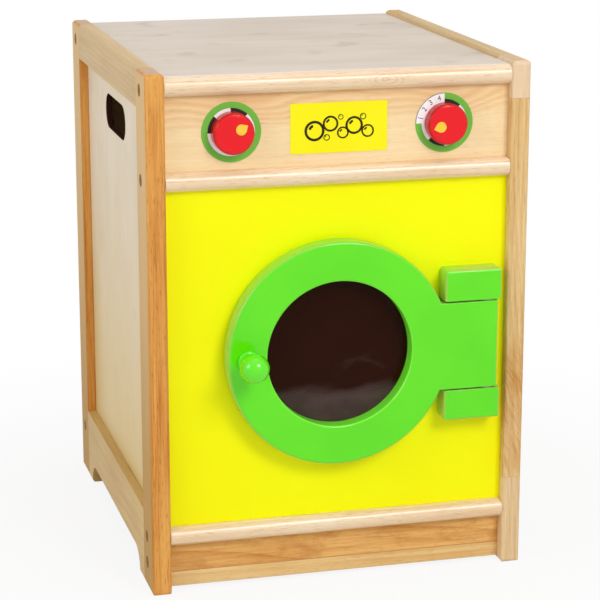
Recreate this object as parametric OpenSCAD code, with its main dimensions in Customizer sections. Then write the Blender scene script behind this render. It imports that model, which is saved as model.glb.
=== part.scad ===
// Toy washing machine: a wooden cabinet with a round hinged door and two turning dials.
// Millimetres, +Z up, the front faces -Y. The origin lies on the floor, under the middle
// of the overall box, from the tip of the door knob to the back of the cabinet.

/* [Cabinet] */
// Width over the two side frames
cabinet_w = 360; // [340:5:460]
// Depth of the side frames, front to back
cabinet_d = 400; // [320:5:480]
// Height of the side frames
cabinet_h = 488; // [470:2:560]

/* [Side frames] */
// Thickness of the side frames
side_t = 18; // [17:0.5:24]
// Width of the stiles, front to back
stile_w = 42; // [40:1:60]
// Height of the top rails
top_rail_h = 35; // [32:1:40]
// Height of the bottom rails above the floor
bottom_rail_h = 73; // [62:1:84]
// Height of the arch that is cut under the bottom rails
arch_h = 22; // [10:1:28]
// Length of each foot, the stile included
foot_l = 64; // [62:1:84]
// Rounding of the long outer edges
edge_r = 2; // [0.5:0.5:3.5]
// Rounding over the tops of the sides
end_r = 5; // [1:0.5:6]
// Rounding under the feet
foot_r = 3.5; // [1:0.5:6]

/* [Side panels] */
// Thickness of the plywood side panels
side_panel_t = 6; // [3:0.5:7]
// How far the side panels lie behind the outer faces
side_recess = 9; // [3:0.5:9]
// How deep the side panels sit in their grooves
side_groove = 6; // [3:0.5:7]
// Length of the hand slots
slot_l = 106; // [70:2:140]
// Height of the hand slots
slot_h = 34; // [24:1:40]
// Distance from the tops of the sides down to the middle of the hand slots
slot_drop = 70; // [62:1:110]

/* [Top and floor] */
// How far the sides stand above the top board
top_lip = 4; // [1:0.5:8]
// Thickness of the top board
top_board_t = 9; // [6:0.5:11]
// Strip of the top nosing that shows in front of the top board
lip_w = 12; // [10:0.5:18]
// Thickness of the floor board
floor_board_t = 9; // [6:0.5:11]
// Gap between the front panel and the floor board
floor_gap = 2; // [0.5:0.5:4]
// Width and height of the cleats under both boards
cleat_w = 15; // [8:1:20]

/* [Front rails] */
// Thickness of the nosing rails, with their half-round fronts
nosing_t = 18; // [17:0.5:22]
// Depth of the nosing rails
nosing_d = 40; // [34:1:60]
// Height of the control panel that shows between the top and the middle nosing
control_h = 68; // [62:1:96]
// Height of the underside of the bottom nosing
bottom_z = 46; // [36:1:70]

/* [Front panels] */
// Thickness of the control panel and of the front panel
panel_t = 12; // [9:0.5:12.5]
// How far both panels lie behind the fronts of the stiles
panel_recess = 10; // [9:0.5:10.5]
// How deep both panels sit in their grooves
panel_groove = 5; // [2:0.5:5]
// Thickness of the kick board
kick_t = 18; // [17:0.5:24]
// How far the kick board lies behind the fronts of the stiles
kick_recess = 12; // [11:0.5:14]
// Gap between the kick board and the floor
kick_gap = 4; // [2:0.5:12]

/* [Back] */
// Thickness of the back panel
back_panel_t = 5; // [3:0.5:8]
// How far the back panel lies inside the backs of the stiles
back_inset = 1; // [0.5:0.5:3]
// Depth of the back rails, front to back
back_rail_d = 30; // [26:1:40]
// Height of the back rails
back_rail_h = 24; // [16:1:32]

/* [Door] */
// Thickness of the door
door_t = 18; // [16:0.5:20]
// Gap between the closed door and the front panel
door_gap = 2; // [1.5:0.5:5]
// Sideways place of the door's middle
door_x = -3; // [-8:1:0]
// How far the door's middle lies above the middle of the front panel
door_rise = 2; // [-20:1:20]
// Diameter of the hole that the window shows through
window_d = 138; // [110:1:152]
// Thickness of the window
window_t = 3; // [2:0.5:5]
// Width of the window's seat behind the hole
seat_w = 6; // [4:0.5:7]
// Width of the retaining ring behind the window
retainer_w = 12; // [11:0.5:12.5]
// Thickness of the retaining ring
retainer_t = 4; // [2:0.5:6]
// Gap between the retaining ring and the opening in the front panel
opening_clear = 4; // [2:0.5:8]
// How far the door laps over the edge of the opening
door_lap = 21; // [17:0.5:28]
// Rounding of the door's front edges
door_r = 3; // [1:0.5:3.5]

/* [Door knob] */
// Diameter of the ball
ball_d = 27; // [20:1:32]
// Distance from the door to the middle of the ball
ball_reach = 26; // [22:1:34]
// Diameter of the knob's foot
knob_foot_d = 20; // [17:1:24]
// Height of the knob's foot
knob_foot_h = 5; // [3:0.5:7]
// Diameter of the knob's neck
neck_d = 13; // [9:0.5:15]

/* [Hinge] */
// Gap between the hinge blocks and the round of the door
block_clear = 4; // [2:0.5:8]
// Height of the hinge blocks
block_h = 29.5; // [26:0.5:40]
// Gap between the hinge blocks and the right stile
block_gap = 9; // [6:0.5:10]
// Distance from the hinge axis to the outer ends of the hinge blocks
pin_edge = 12; // [11:0.5:14]
// Height of the door's tongue between the hinge blocks
tongue_h = 83; // [60:1:100]
// Gap between the tongue and each hinge block
hinge_gap = 1.5; // [1:0.1:2.5]
// Diameter of the hinge pins
pin_d = 6; // [4:0.5:8]
// Length of each hinge pin inside its block
pin_in_block = 22; // [14:1:24]
// Length of each hinge pin inside the tongue
pin_in_tongue = 18; // [12:1:24]
// Diameter of the washers on the hinge pins
hinge_washer_d = 14; // [12:0.5:16]

/* [Dials] */
// Distance from the middle of each dial to the stile beside it
dial_inset = 62; // [50:1:72]
// Diameter of the printed discs
disc_d = 55; // [50:1:58]
// Thickness of the printed discs
disc_t = 0.5; // [0.3:0.1:1]
// Diameter of the turning knobs
dial_d = 38; // [32:1:44]
// Height of the turning knobs
dial_h = 13; // [12:0.5:20]
// Rounding of the front edge of the turning knobs
dial_r = 3; // [1:0.5:4]
// Diameter of the spindles
spindle_d = 8; // [6:0.5:10]
// Length of the spindles inside the knobs
spindle_in = 9; // [6:0.5:10]
// Diameter of the washers behind the control panel
dial_washer_d = 20; // [14:1:26]
// Thickness of the washers behind the control panel
dial_washer_t = 1.6; // [1:0.1:3]
// Direction of the pointer on the left knob
pointer_left = 32; // [0:1:359]
// Direction of the pointer on the right knob
pointer_right = 196; // [0:1:359]
// Radius of the round end of the pointers
pointer_r = 4.9; // [3:0.1:5.2]
// Distance from the middle of the knob to the round end
pointer_out = 7.4; // [6:0.1:8]
// Length of the pointed end
pointer_tip = 7.1; // [6:0.1:7.5]

/* [Label] */
// Width of the label between the dials
label_w = 91; // [60:1:110]
// Height of the label
label_h = 46; // [30:1:56]
// Rounding of the label's corners
label_r = 1.5; // [0.5:0.5:10]
// Thickness of the label, of the pointers and of other thin marks
mark_t = 0.4; // [0.2:0.1:0.8]

/* [Catch] */
// Diameter of the magnet and of its strike plate
magnet_d = 12; // [8:0.5:14]
// Thickness of the magnet
magnet_t = 4; // [2:0.5:6]
// Thickness of the strike plate
strike_t = 1.5; // [1:0.1:3]
// Place of the catch around the door, counted from the hinge side
catch_angle = 155; // [145:1:165]

/* [Fasteners] */
// Diameter of the long wood screws
screw_d = 4; // [3:0.5:4.5]
// Length of the frame screws inside the rails
screw_bite = 30; // [20:1:40]
// Depth of the holes that hide the frame screws
plug_hole = 8; // [6:0.5:9]
// Diameter of the plugs that cover the frame screws
plug_d = 11.5; // [10:0.5:12]
// Distance from the panels' backs to the front frame screws
screw_behind = 4; // [3:0.5:4.5]
// Distance from the boards' undersides down to the screws that run below them
screw_drop = 4.5; // [3.5:0.5:5.5]
// Diameter of the small screws
small_screw_d = 2.5; // [2:0.1:3]
// Number of screws in the window's retaining ring
retainer_screws_n = 6; // [3:1:10]
// Number of screws along each back rail
back_screws_n = 4; // [2:1:7]
// Distance from the ends of the back rails to the first screw
back_screw_inset = 20; // [12:1:40]
// Diameter of the dowels in the side frames
dowel_d = 6; // [5:0.5:7]
// Wood left between each dowel and the screw holes and edges near it
dowel_wall = 1.5; // [1:0.25:2]
// Length of each dowel inside its rail
dowel_in_rail = 14; // [8:0.5:20]

/* [Fits] */
// Clearance all round a panel in its groove
groove_fit = 0.1; // [0.05:0.05:0.3]
// Radial clearance of what is glued or driven in
tight_fit = 0.02; // [0.01:0.01:0.05]
// Radial clearance of what turns
turn_fit = 0.06; // [0.03:0.01:0.1]
// End play of what turns
end_play = 0.3; // [0.2:0.1:0.5]

/* [Hidden] */
eps = 1;

// Cabinet
half_w = cabinet_w / 2;
inner_x = half_w - side_t;
block_t = door_t + door_gap;
block_out = block_t - panel_recess;
front_reach = block_out + ball_reach + ball_d / 2;
y_front = (front_reach - cabinet_d) / 2;
y_back = y_front + cabinet_d;
y_rail = y_front + stile_w;
y_rail_end = y_back - stile_w;
rail_z = cabinet_h - top_rail_h;

// Boards and front rails
top_z = cabinet_h - top_lip;
top_under = top_z - top_board_t;
top_nosing_z = top_z - nosing_t;
middle_z = top_nosing_z - control_h - nosing_t;
floor_z = bottom_z + nosing_t;
floor_under = floor_z - floor_board_t;
y_panel = y_front + panel_recess;
y_panel_back = y_panel + panel_t;
y_nosing_back = y_front + nosing_d;
y_floor = y_panel_back + floor_gap;
y_back_panel = y_back - back_inset - back_panel_t;
y_back_rail = y_back_panel - back_rail_d;
y_kick = y_front + kick_recess;

// Frame screws: [y, z] of each one, the front stile's first
y_screw = y_panel_back + screw_behind;
y_screw_back = y_back_panel - back_rail_d / 2;
screw_top_z = top_under - screw_drop;
screw_low_z = floor_under - screw_drop;
screw_mid_z = middle_z + nosing_t / 2;
screw_kick_z = (kick_gap + bottom_z) / 2;
front_screw_z = [screw_top_z, screw_mid_z, screw_low_z, screw_kick_z];
back_screw_z = [screw_top_z, screw_low_z];
head_r = screw_d;
head_h = 0.7 * screw_d;

// Dowels: heights in the top and in the bottom rails
dowel_in_stile = y_rail - y_screw - plug_d / 2 - dowel_wall;
dowel_edge = dowel_d / 2 + dowel_wall;
top_dowel_z = [rail_z + side_groove + dowel_edge, cabinet_h - end_r - dowel_edge];
low_dowel_z = [arch_h, bottom_rail_h - side_groove - dowel_edge];
x_dowel = inner_x + side_t / 2;

// Hand slots
slot_z = cabinet_h - slot_drop;
slot_y = (y_front + y_back) / 2;

// Door and hinge
window_r = window_d / 2;
seat_r = window_r + seat_w;
retainer_or = window_r + retainer_w;
opening_r = retainer_or + opening_clear;
door_or = opening_r + door_lap;
band_r = (window_r + door_or) / 2;
y_door_back = y_panel - door_gap;
y_door_front = y_door_back - door_t;
door_z = (floor_z + middle_z) / 2 + door_rise;
block_z = tongue_h / 2 + hinge_gap;
block_x1 = inner_x - block_gap;
block_x0 = door_x + sqrt(door_or * door_or - block_z * block_z) + block_clear;
hinge_x = block_x1 - pin_edge;
hinge_y = y_door_back - door_t / 2;
tongue_end = hinge_x + door_t / 2;
washer_t = hinge_gap - end_play / 2;
block_w = block_x1 - block_x0;
block_corner = door_r + 1;
block_screws = [0.22 * block_w, 0.52 * block_w];
block_bite = block_t * 0.7;
screw_circle = (seat_r + retainer_or) / 2;
small_head_r = small_screw_d * 0.95;
small_head_h = small_screw_d * 0.6;
small_bite = 8;
cross_r = small_head_r * 0.65;
cross_t = small_screw_d * 0.2;
cross_z = small_head_h * 0.45;
catch_r = (opening_r + door_or) / 2;
catch_dx = catch_r * cos(catch_angle);
catch_dz = catch_r * sin(catch_angle);
knob_bite = ball_reach * 0.6;

// Dials
dial_x = inner_x - dial_inset;
dial_z = top_nosing_z - control_h / 2;
y_disc = y_panel - disc_t;
y_dial = y_disc - end_play;
y_dial_washer = y_panel_back + end_play;
spindle_l = spindle_in + y_dial_washer - y_dial;
dial_screw_bite = spindle_l * 0.6;

wood = "#dcb47c";
pine = "#f1cf98";
pale = "#ddd2c0";
edging = "#f2dcb4";
grass = "#67e62d";
sun = "#fdf619";
steel = "#b9bcc0";
red = "#f02330";

// ---- Helpers ----

// Extrudes an outline drawn in X and Z from y0 to y1
module along_y(y0, y1)
    translate([0, y1, 0]) rotate([90, 0, 0]) linear_extrude(y1 - y0) children();

// Extrudes an outline drawn in Y and Z from x0 to x1
module along_x(x0, x1)
    translate([x0, 0, 0]) rotate([90, 0, 90]) linear_extrude(x1 - x0) children();

// Stands its children on a plane that faces the front: their +Z points to -Y
module on_front(x, y, z)
    translate([x, y, z]) rotate([90, 0, 0]) children();

// Cylinder along X from x0 to x1
module rod_x(x0, x1, y, z, r)
    translate([x0, y, z]) rotate([0, 90, 0]) cylinder(r = r, h = x1 - x0, $fn = 32);

// Cylinder along Y from y0 to y1
module rod_y(x, y0, y1, z, r)
    translate([x, y0, z]) rotate([-90, 0, 0]) cylinder(r = r, h = y1 - y0, $fn = 32);

// Box between two corners
module box(a, b) translate(a) cube(b - a);

// Flat box between two corners
module flat(a, b) translate(a) square(b - a);

// What a rounded corner leaves out; sx and sy point out of the shape
module nick(x, y, sx, sy, r)
    translate([x - sx * r, y - sy * r]) difference() {
        translate([sx > 0 ? 0 : -r - eps, sy > 0 ? 0 : -r - eps]) square(r + eps);
        circle(r, $fn = 32);
    }

// Everything on the left is the mirror image of the right
module on_side(side)
    mirror([side < 0 ? 1 : 0, 0, 0]) children();

// ---- Side frames, drawn on the right ----

// Outline of a side seen from the front, with its rounded top and feet
module side_outline()
    difference() {
        flat([inner_x, 0], [half_w, cabinet_h]);
        nick(half_w, cabinet_h, 1, 1, end_r);
        nick(inner_x, cabinet_h, -1, 1, end_r);
        nick(half_w, 0, 1, -1, foot_r);
        nick(inner_x, 0, -1, -1, foot_r);
    }

// A stile from y0 to y1 whose outer edges lie at y0 (face = -1) or at y1 (face = 1)
module stile_blank(y0, y1, face) {
    edge_y = face < 0 ? y0 : y1;
    intersection() {
        linear_extrude(cabinet_h) difference() {
            flat([inner_x, y0], [half_w, y1]);
            nick(half_w, edge_y, 1, face, edge_r);
            nick(inner_x, edge_y, -1, face, edge_r);
        }
        along_y(y0, y1) side_outline();
        along_x(inner_x, half_w) difference() {
            flat([y0, 0], [y1, cabinet_h]);
            nick(edge_y, cabinet_h, face, 1, end_r);
            nick(edge_y, 0, face, -1, foot_r);
        }
    }
}

// Holes for one frame screw and the plug over it
module screw_holes(y, z) {
    rod_x(half_w - plug_hole, half_w + eps, y, z, plug_d / 2 + tight_fit);
    rod_x(inner_x - eps, half_w, y, z, screw_d / 2 + tight_fit);
}

// Groove for the side panel, on the side of a stile or rail that faces it
module side_groove_cut()
    box([half_w - side_recess - side_panel_t - groove_fit,
         y_rail - side_groove - groove_fit, bottom_rail_h - side_groove - groove_fit],
        [half_w - side_recess + groove_fit,
         y_rail_end + side_groove + groove_fit, rail_z + side_groove + groove_fit]);

// Dowels of one side, or their holes when grow is above 0
module dowels(grow) {
    for (z = concat(top_dowel_z, low_dowel_z)) {
        rod_y(x_dowel, y_rail - dowel_in_stile - grow, y_rail + dowel_in_rail + grow, z,
              dowel_d / 2 + grow);
        rod_y(x_dowel, y_rail_end - dowel_in_rail - grow, y_rail_end + dowel_in_stile + grow, z,
              dowel_d / 2 + grow);
    }
}

module front_stile(side)
    color(wood) on_side(side) difference() {
        stile_blank(y_front, y_rail, -1);
        side_groove_cut();
        dowels(tight_fit);
        for (z = front_screw_z) screw_holes(y_screw, z);
        box([inner_x - eps, y_panel - groove_fit, floor_z - panel_groove - groove_fit],
            [inner_x + panel_groove + groove_fit, y_panel_back + groove_fit,
             top_nosing_z + panel_groove + groove_fit]);
    }

module back_stile(side)
    color(wood) on_side(side) difference() {
        stile_blank(y_rail_end, y_back, 1);
        side_groove_cut();
        dowels(tight_fit);
        for (z = back_screw_z) screw_holes(y_screw_back, z);
    }

module top_rail(side)
    color(wood) on_side(side) difference() {
        intersection() {
            along_y(y_rail, y_rail_end) side_outline();
            box([inner_x, y_rail, rail_z], [half_w, y_rail_end, cabinet_h]);
        }
        side_groove_cut();
        dowels(tight_fit);
    }

// The underside is arched: its ends are round and run out into the feet
module bottom_rail(side)
    color(wood) on_side(side) difference() {
        intersection() {
            along_y(y_rail, y_rail_end) side_outline();
            box([inner_x, y_rail, 0], [half_w, y_rail_end, bottom_rail_h]);
        }
        box([inner_x - eps, y_front + foot_l + arch_h, -eps],
            [half_w + eps, y_back - foot_l - arch_h, arch_h]);
        for (y = [y_front + foot_l + arch_h, y_back - foot_l - arch_h])
            rod_x(inner_x - eps, half_w + eps, y, 0, arch_h);
        side_groove_cut();
        dowels(tight_fit);
    }

module side_panel(side)
    color(pale) on_side(side)
        along_x(half_w - side_recess - side_panel_t, half_w - side_recess) difference() {
            flat([y_rail - side_groove, bottom_rail_h - side_groove],
                 [y_rail_end + side_groove, rail_z + side_groove]);
            flat([slot_y - (slot_l - slot_h) / 2, slot_z - slot_h / 2],
                 [slot_y + (slot_l - slot_h) / 2, slot_z + slot_h / 2]);
            for (s = [-1, 1])
                translate([slot_y + s * (slot_l - slot_h) / 2, slot_z])
                    circle(d = slot_h, $fn = 48);
        }

module frame_dowels(side)
    color(edging) on_side(side) dowels(0);

module frame_screw(y, z) {
    rod_x(half_w - plug_hole, half_w - plug_hole + head_h, y, z, head_r);
    rod_x(inner_x - screw_bite, half_w - plug_hole, y, z, screw_d / 2);
}

module frame_screws(side)
    color(steel) on_side(side) {
        for (z = front_screw_z) frame_screw(y_screw, z);
        for (z = back_screw_z) frame_screw(y_screw_back, z);
    }

module screw_plugs(side)
    color("#a98750") on_side(side) {
        for (z = front_screw_z)
            rod_x(half_w - plug_hole + head_h, half_w, y_screw, z, plug_d / 2);
        for (z = back_screw_z)
            rod_x(half_w - plug_hole + head_h, half_w, y_screw_back, z, plug_d / 2);
    }

// Pilot holes in the ends of a rail
module pilot_holes(y, z)
    for (side = [-1, 1])
        on_side(side) rod_x(inner_x - screw_bite - eps, inner_x + eps, y, z,
                            screw_d / 2 + tight_fit);

// ---- Boards, nosings and back ----

// Nosing rail with a half-round front, on its own underside
module nosing_blank(z)
    translate([0, 0, z]) along_x(-inner_x, inner_x) {
        flat([y_front + nosing_t / 2, 0], [y_nosing_back, nosing_t]);
        translate([y_front + nosing_t / 2, nosing_t / 2]) circle(d = nosing_t, $fn = 48);
    }

// Groove for a panel below (up = 1) or above (up = -1) a nosing face at height z
module panel_groove_cut(z, up) {
    depth = panel_groove + groove_fit;
    box([-inner_x - eps, y_panel - groove_fit, up > 0 ? z - eps : z - depth],
        [inner_x + eps, y_panel_back + groove_fit, up > 0 ? z + depth : z + eps]);
}

module top_nosing()
    color(edging) difference() {
        nosing_blank(top_nosing_z);
        panel_groove_cut(top_nosing_z, 1);
        box([-inner_x - eps, y_front + lip_w, top_under],
            [inner_x + eps, y_nosing_back + eps, top_z + eps]);
        pilot_holes(y_screw, screw_top_z);
    }

module middle_nosing()
    color(edging) difference() {
        nosing_blank(middle_z);
        panel_groove_cut(middle_z, 1);
        panel_groove_cut(middle_z + nosing_t, -1);
        pilot_holes(y_screw, screw_mid_z);
    }

module bottom_nosing()
    color(edging) difference() {
        nosing_blank(bottom_z);
        panel_groove_cut(floor_z, -1);
        box([-inner_x - eps, y_floor, floor_under],
            [inner_x + eps, y_nosing_back + eps, floor_z + eps]);
        pilot_holes(y_screw, screw_low_z);
    }

module kick_board()
    color("#dca968") difference() {
        box([-inner_x, y_kick, kick_gap], [inner_x, y_kick + kick_t, bottom_z]);
        pilot_holes(y_screw, screw_kick_z);
    }

module top_board()
    color(pale) box([-inner_x, y_front + lip_w, top_under], [inner_x, y_back, top_z]);

module floor_board()
    color(pale) box([-inner_x, y_floor, floor_under], [inner_x, y_back_panel, floor_z]);

module top_cleat(side)
    color(wood) on_side(side)
        box([inner_x - cleat_w, y_nosing_back, top_under - cleat_w],
            [inner_x, y_back_rail, top_under]);

module floor_cleat(side)
    color(wood) on_side(side)
        box([inner_x - cleat_w, y_nosing_back, floor_under - cleat_w],
            [inner_x, y_back_rail, floor_under]);

// Places its children at each back screw: over the rails, spread along X
module at_back_screws()
    for (z = [top_under - back_rail_h / 2, floor_under - back_rail_h / 2])
        for (i = [0:back_screws_n - 1])
            translate([(inner_x - back_screw_inset) * (2 * i / (back_screws_n - 1) - 1), 0, z])
                children();

module back_rail(under, screw_z)
    color(wood) difference() {
        box([-inner_x, y_back_rail, under - back_rail_h], [inner_x, y_back_panel, under]);
        pilot_holes(y_screw_back, screw_z);
        at_back_screws()
            rod_y(0, y_back_panel - small_bite - eps, y_back_panel + eps, 0,
                  small_screw_d / 2 + tight_fit);
    }

module back_top_rail() back_rail(top_under, screw_top_z);
module back_bottom_rail() back_rail(floor_under, screw_low_z);

module back_panel()
    color(pale) difference() {
        box([-inner_x, y_back_panel, floor_under - back_rail_h],
            [inner_x, y_back_panel + back_panel_t, top_under]);
        at_back_screws()
            rod_y(0, y_back_panel - eps, y_back, 0, small_screw_d / 2 + tight_fit);
    }

// Small screw along -Y with its head on the plane y = 0 and a cross in the head
module small_screw(bite)
    difference() {
        union() {
            rod_y(0, 0, small_head_h, 0, small_head_r);
            rod_y(0, -bite, 0, 0, small_screw_d / 2);
        }
        for (a = [0, 90])
            rotate([0, a, 0])
                box([-cross_r, cross_z, -cross_t / 2], [cross_r, small_head_h + eps, cross_t / 2]);
    }

module back_screws()
    color(steel) at_back_screws()
        translate([0, y_back_panel + back_panel_t, 0]) small_screw(back_panel_t + small_bite);

// ---- Front panels ----

module control_panel()
    color(pine) difference() {
        box([-inner_x - panel_groove, y_panel, middle_z + nosing_t - panel_groove],
            [inner_x + panel_groove, y_panel_back, top_nosing_z + panel_groove]);
        for (x = [-dial_x, dial_x])
            rod_y(x, y_panel - eps, y_panel_back + eps, dial_z, spindle_d / 2 + turn_fit);
    }

module front_panel()
    color(sun) difference() {
        box([-inner_x - panel_groove, y_panel, floor_z - panel_groove],
            [inner_x + panel_groove, y_panel_back, middle_z + panel_groove]);
        translate([door_x, y_panel - eps, door_z]) rotate([-90, 0, 0])
            cylinder(r = opening_r, h = panel_t + 2 * eps, $fn = 96);
        rod_y(door_x + catch_dx, y_panel - eps, y_panel + magnet_t, door_z + catch_dz,
              magnet_d / 2 + tight_fit);
        for (s = [-1, 1], dx = block_screws)
            rod_y(block_x0 + dx, y_panel - eps, y_panel_back + eps,
                  door_z + s * (block_z + block_h / 2), screw_d / 2 + tight_fit);
    }

module control_label()
    color(sun) on_front(0, y_panel, dial_z) linear_extrude(mark_t) difference() {
        square([label_w, label_h], center = true);
        for (sx = [-1, 1], sy = [-1, 1])
            nick(sx * label_w / 2, sy * label_h / 2, sx, sy, label_r);
    }

module dial_disc(side)
    color("#6eb441") on_front(side * dial_x, y_panel, dial_z) difference() {
        cylinder(d = disc_d, h = disc_t, $fn = 96);
        translate([0, 0, -eps])
            cylinder(r = spindle_d / 2 + turn_fit, h = disc_t + 2 * eps, $fn = 32);
    }

// ---- Hinge and catch ----

// Hinge block above (s = 1) or below (s = -1) the tongue; its outer edges are rounded
module hinge_block(s)
    color(grass) translate([0, 0, door_z]) mirror([0, 0, s < 0 ? 1 : 0]) difference() {
        intersection() {
            along_y(y_panel - block_t, y_panel) difference() {
                flat([block_x0, block_z], [block_x1, block_z + block_h]);
                nick(block_x0, block_z + block_h, -1, 1, block_corner);
                nick(block_x1, block_z + block_h, 1, 1, block_corner);
            }
            linear_extrude(block_z + block_h) difference() {
                flat([block_x0, y_panel - block_t], [block_x1, y_panel]);
                nick(block_x0, y_panel - block_t, -1, -1, door_r);
                nick(block_x1, y_panel - block_t, 1, -1, door_r);
            }
            along_x(block_x0, block_x1) difference() {
                flat([y_panel - block_t, block_z], [y_panel, block_z + block_h]);
                nick(y_panel - block_t, block_z + block_h, -1, 1, door_r);
            }
        }
        translate([hinge_x, hinge_y, block_z - eps])
            cylinder(r = pin_d / 2 + tight_fit, h = pin_in_block + eps, $fn = 32);
        for (dx = block_screws)
            rod_y(block_x0 + dx, y_panel - block_bite, y_panel + eps, block_z + block_h / 2,
                  screw_d / 2 + tight_fit);
    }

module hinge_pins()
    color(steel) for (s = [-1, 1])
        translate([hinge_x, hinge_y, door_z]) mirror([0, 0, s < 0 ? 1 : 0])
            translate([0, 0, tongue_h / 2 - pin_in_tongue])
                cylinder(d = pin_d, h = pin_in_tongue + hinge_gap + pin_in_block, $fn = 32);

module hinge_washers()
    color("ivory") for (s = [-1, 1])
        translate([hinge_x, hinge_y, door_z]) mirror([0, 0, s < 0 ? 1 : 0])
            translate([0, 0, block_z - washer_t]) difference() {
                cylinder(d = hinge_washer_d, h = washer_t, $fn = 32);
                translate([0, 0, -eps])
                    cylinder(r = pin_d / 2 + tight_fit, h = washer_t + 2 * eps, $fn = 32);
            }

module hinge_screws()
    color(steel) for (s = [-1, 1], dx = block_screws) {
        x = block_x0 + dx;
        z = door_z + s * (block_z + block_h / 2);
        rod_y(x, y_panel - block_bite, y_panel_back, z, screw_d / 2);
        rod_y(x, y_panel_back, y_panel_back + head_h, z, head_r);
    }

module door_magnet()
    color("#55585c")
        rod_y(door_x + catch_dx, y_panel, y_panel + magnet_t, door_z + catch_dz, magnet_d / 2);

// ---- Door ----

// The tongue seen from above: round about the pin at the back, so that it can turn
module tongue_plan()
    difference() {
        flat([door_x + band_r, y_door_front], [tongue_end, y_door_back]);
        nick(tongue_end, y_door_back, 1, 1, door_t / 2);
        nick(tongue_end, y_door_front, 1, -1, door_r);
    }

// Places its children on the back of the door, with their +Z towards the front
module on_door_back() on_front(door_x, y_door_back, door_z) children();

module at_retainer_screws()
    for (i = [0:retainer_screws_n - 1])
        rotate([0, 0, (i + 0.5) * 360 / retainer_screws_n])
            translate([screw_circle, 0, 0]) children();

module door_ring()
    color(grass) difference() {
        union() {
            on_door_back() rotate_extrude($fn = 96) difference() {
                flat([window_r, 0], [door_or, door_t]);
                nick(door_or, door_t, 1, 1, door_r);
                nick(door_or, 0, 1, -1, door_r / 2);
                nick(window_r, door_t, -1, 1, door_r * 0.7);
            }
            translate([0, 0, door_z - tongue_h / 2]) linear_extrude(tongue_h) tongue_plan();
        }
        for (s = [-1, 1])
            translate([hinge_x, hinge_y, door_z]) mirror([0, 0, s < 0 ? 1 : 0])
                translate([0, 0, tongue_h / 2 - pin_in_tongue - end_play])
                    cylinder(r = pin_d / 2 + turn_fit, h = pin_in_tongue + end_play + eps, $fn = 32);
        on_door_back() {
            translate([0, 0, -eps]) cylinder(r = seat_r + groove_fit, h = window_t + eps, $fn = 96);
            translate([0, 0, -eps]) at_retainer_screws()
                cylinder(r = small_screw_d / 2 + tight_fit, h = small_bite + eps, $fn = 24);
            translate([-band_r, 0, -eps])
                cylinder(r = screw_d / 2 + tight_fit, h = door_t + 2 * eps, $fn = 32);
            translate([-band_r, 0, -eps])
                cylinder(r = head_r + tight_fit, h = head_h + eps, $fn = 32);
            translate([catch_dx, catch_dz, -eps])
                cylinder(r = magnet_d / 2 + tight_fit, h = strike_t + eps, $fn = 32);
        }
    }

module door_window()
    color([0.2, 0.13, 0.1, 0.6]) on_door_back() cylinder(r = seat_r, h = window_t, $fn = 96);

module window_retainer()
    color(grass) on_door_back() translate([0, 0, -retainer_t]) difference() {
        cylinder(r = retainer_or, h = retainer_t, $fn = 96);
        translate([0, 0, -eps]) cylinder(r = window_r, h = retainer_t + 2 * eps, $fn = 96);
        translate([0, 0, -eps]) at_retainer_screws()
            cylinder(r = small_screw_d / 2 + tight_fit, h = retainer_t + 2 * eps, $fn = 24);
    }

module retainer_screws()
    color(steel) on_door_back() at_retainer_screws()
        rotate([-90, 0, 0]) translate([0, retainer_t, 0]) small_screw(retainer_t + small_bite - eps);

// Turned in one piece: a round foot, a neck and a ball
module door_knob()
    color(grass) on_front(door_x - band_r, y_door_front, door_z) difference() {
        union() {
            rotate_extrude($fn = 48) difference() {
                square([knob_foot_d / 2, knob_foot_h]);
                nick(knob_foot_d / 2, knob_foot_h, 1, 1, knob_foot_h * 0.45);
                nick(knob_foot_d / 2, 0, 1, -1, knob_foot_h * 0.35);
            }
            cylinder(d = neck_d, h = ball_reach, $fn = 48);
            translate([0, 0, ball_reach]) sphere(d = ball_d, $fn = 48);
        }
        translate([0, 0, -eps]) cylinder(r = screw_d / 2 + tight_fit, h = knob_bite + eps, $fn = 32);
    }

module door_knob_screw()
    color(steel) on_front(door_x - band_r, y_door_back, door_z) {
        cylinder(r = screw_d / 2, h = door_t + knob_bite - eps, $fn = 32);
        cylinder(r = head_r, h = head_h, $fn = 32);
    }

module strike_plate()
    color(steel) on_door_back() translate([catch_dx, catch_dz, 0])
        cylinder(d = magnet_d, h = strike_t, $fn = 32);

// ---- Dials ----

module at_dial(side, y) on_front(side * dial_x, y, dial_z) children();

module dial_knob(side)
    color(red) at_dial(side, y_dial) difference() {
        rotate_extrude($fn = 64) difference() {
            square([dial_d / 2, dial_h]);
            nick(dial_d / 2, dial_h, 1, 1, dial_r);
            nick(dial_d / 2, 0, 1, -1, dial_r / 4);
        }
        translate([0, 0, -eps]) cylinder(r = spindle_d / 2 + tight_fit, h = spindle_in + eps, $fn = 32);
    }

// A drop: a round end and a point that aims outwards
module dial_pointer(side, angle)
    color("#fdd74b") at_dial(side, y_dial - dial_h) rotate([0, 0, angle])
        translate([pointer_out, 0, 0]) linear_extrude(mark_t) {
            touch = acos(pointer_r / pointer_tip);
            circle(pointer_r, $fn = 32);
            polygon([[pointer_tip, 0],
                     pointer_r * [cos(touch), sin(touch)],
                     pointer_r * [cos(touch), -sin(touch)]]);
        }

module dial_spindle(side)
    color(edging) at_dial(side, y_dial_washer) difference() {
        cylinder(d = spindle_d, h = spindle_l, $fn = 32);
        translate([0, 0, -eps])
            cylinder(r = small_screw_d / 2 + tight_fit, h = dial_screw_bite + 2 * eps, $fn = 24);
    }

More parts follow.
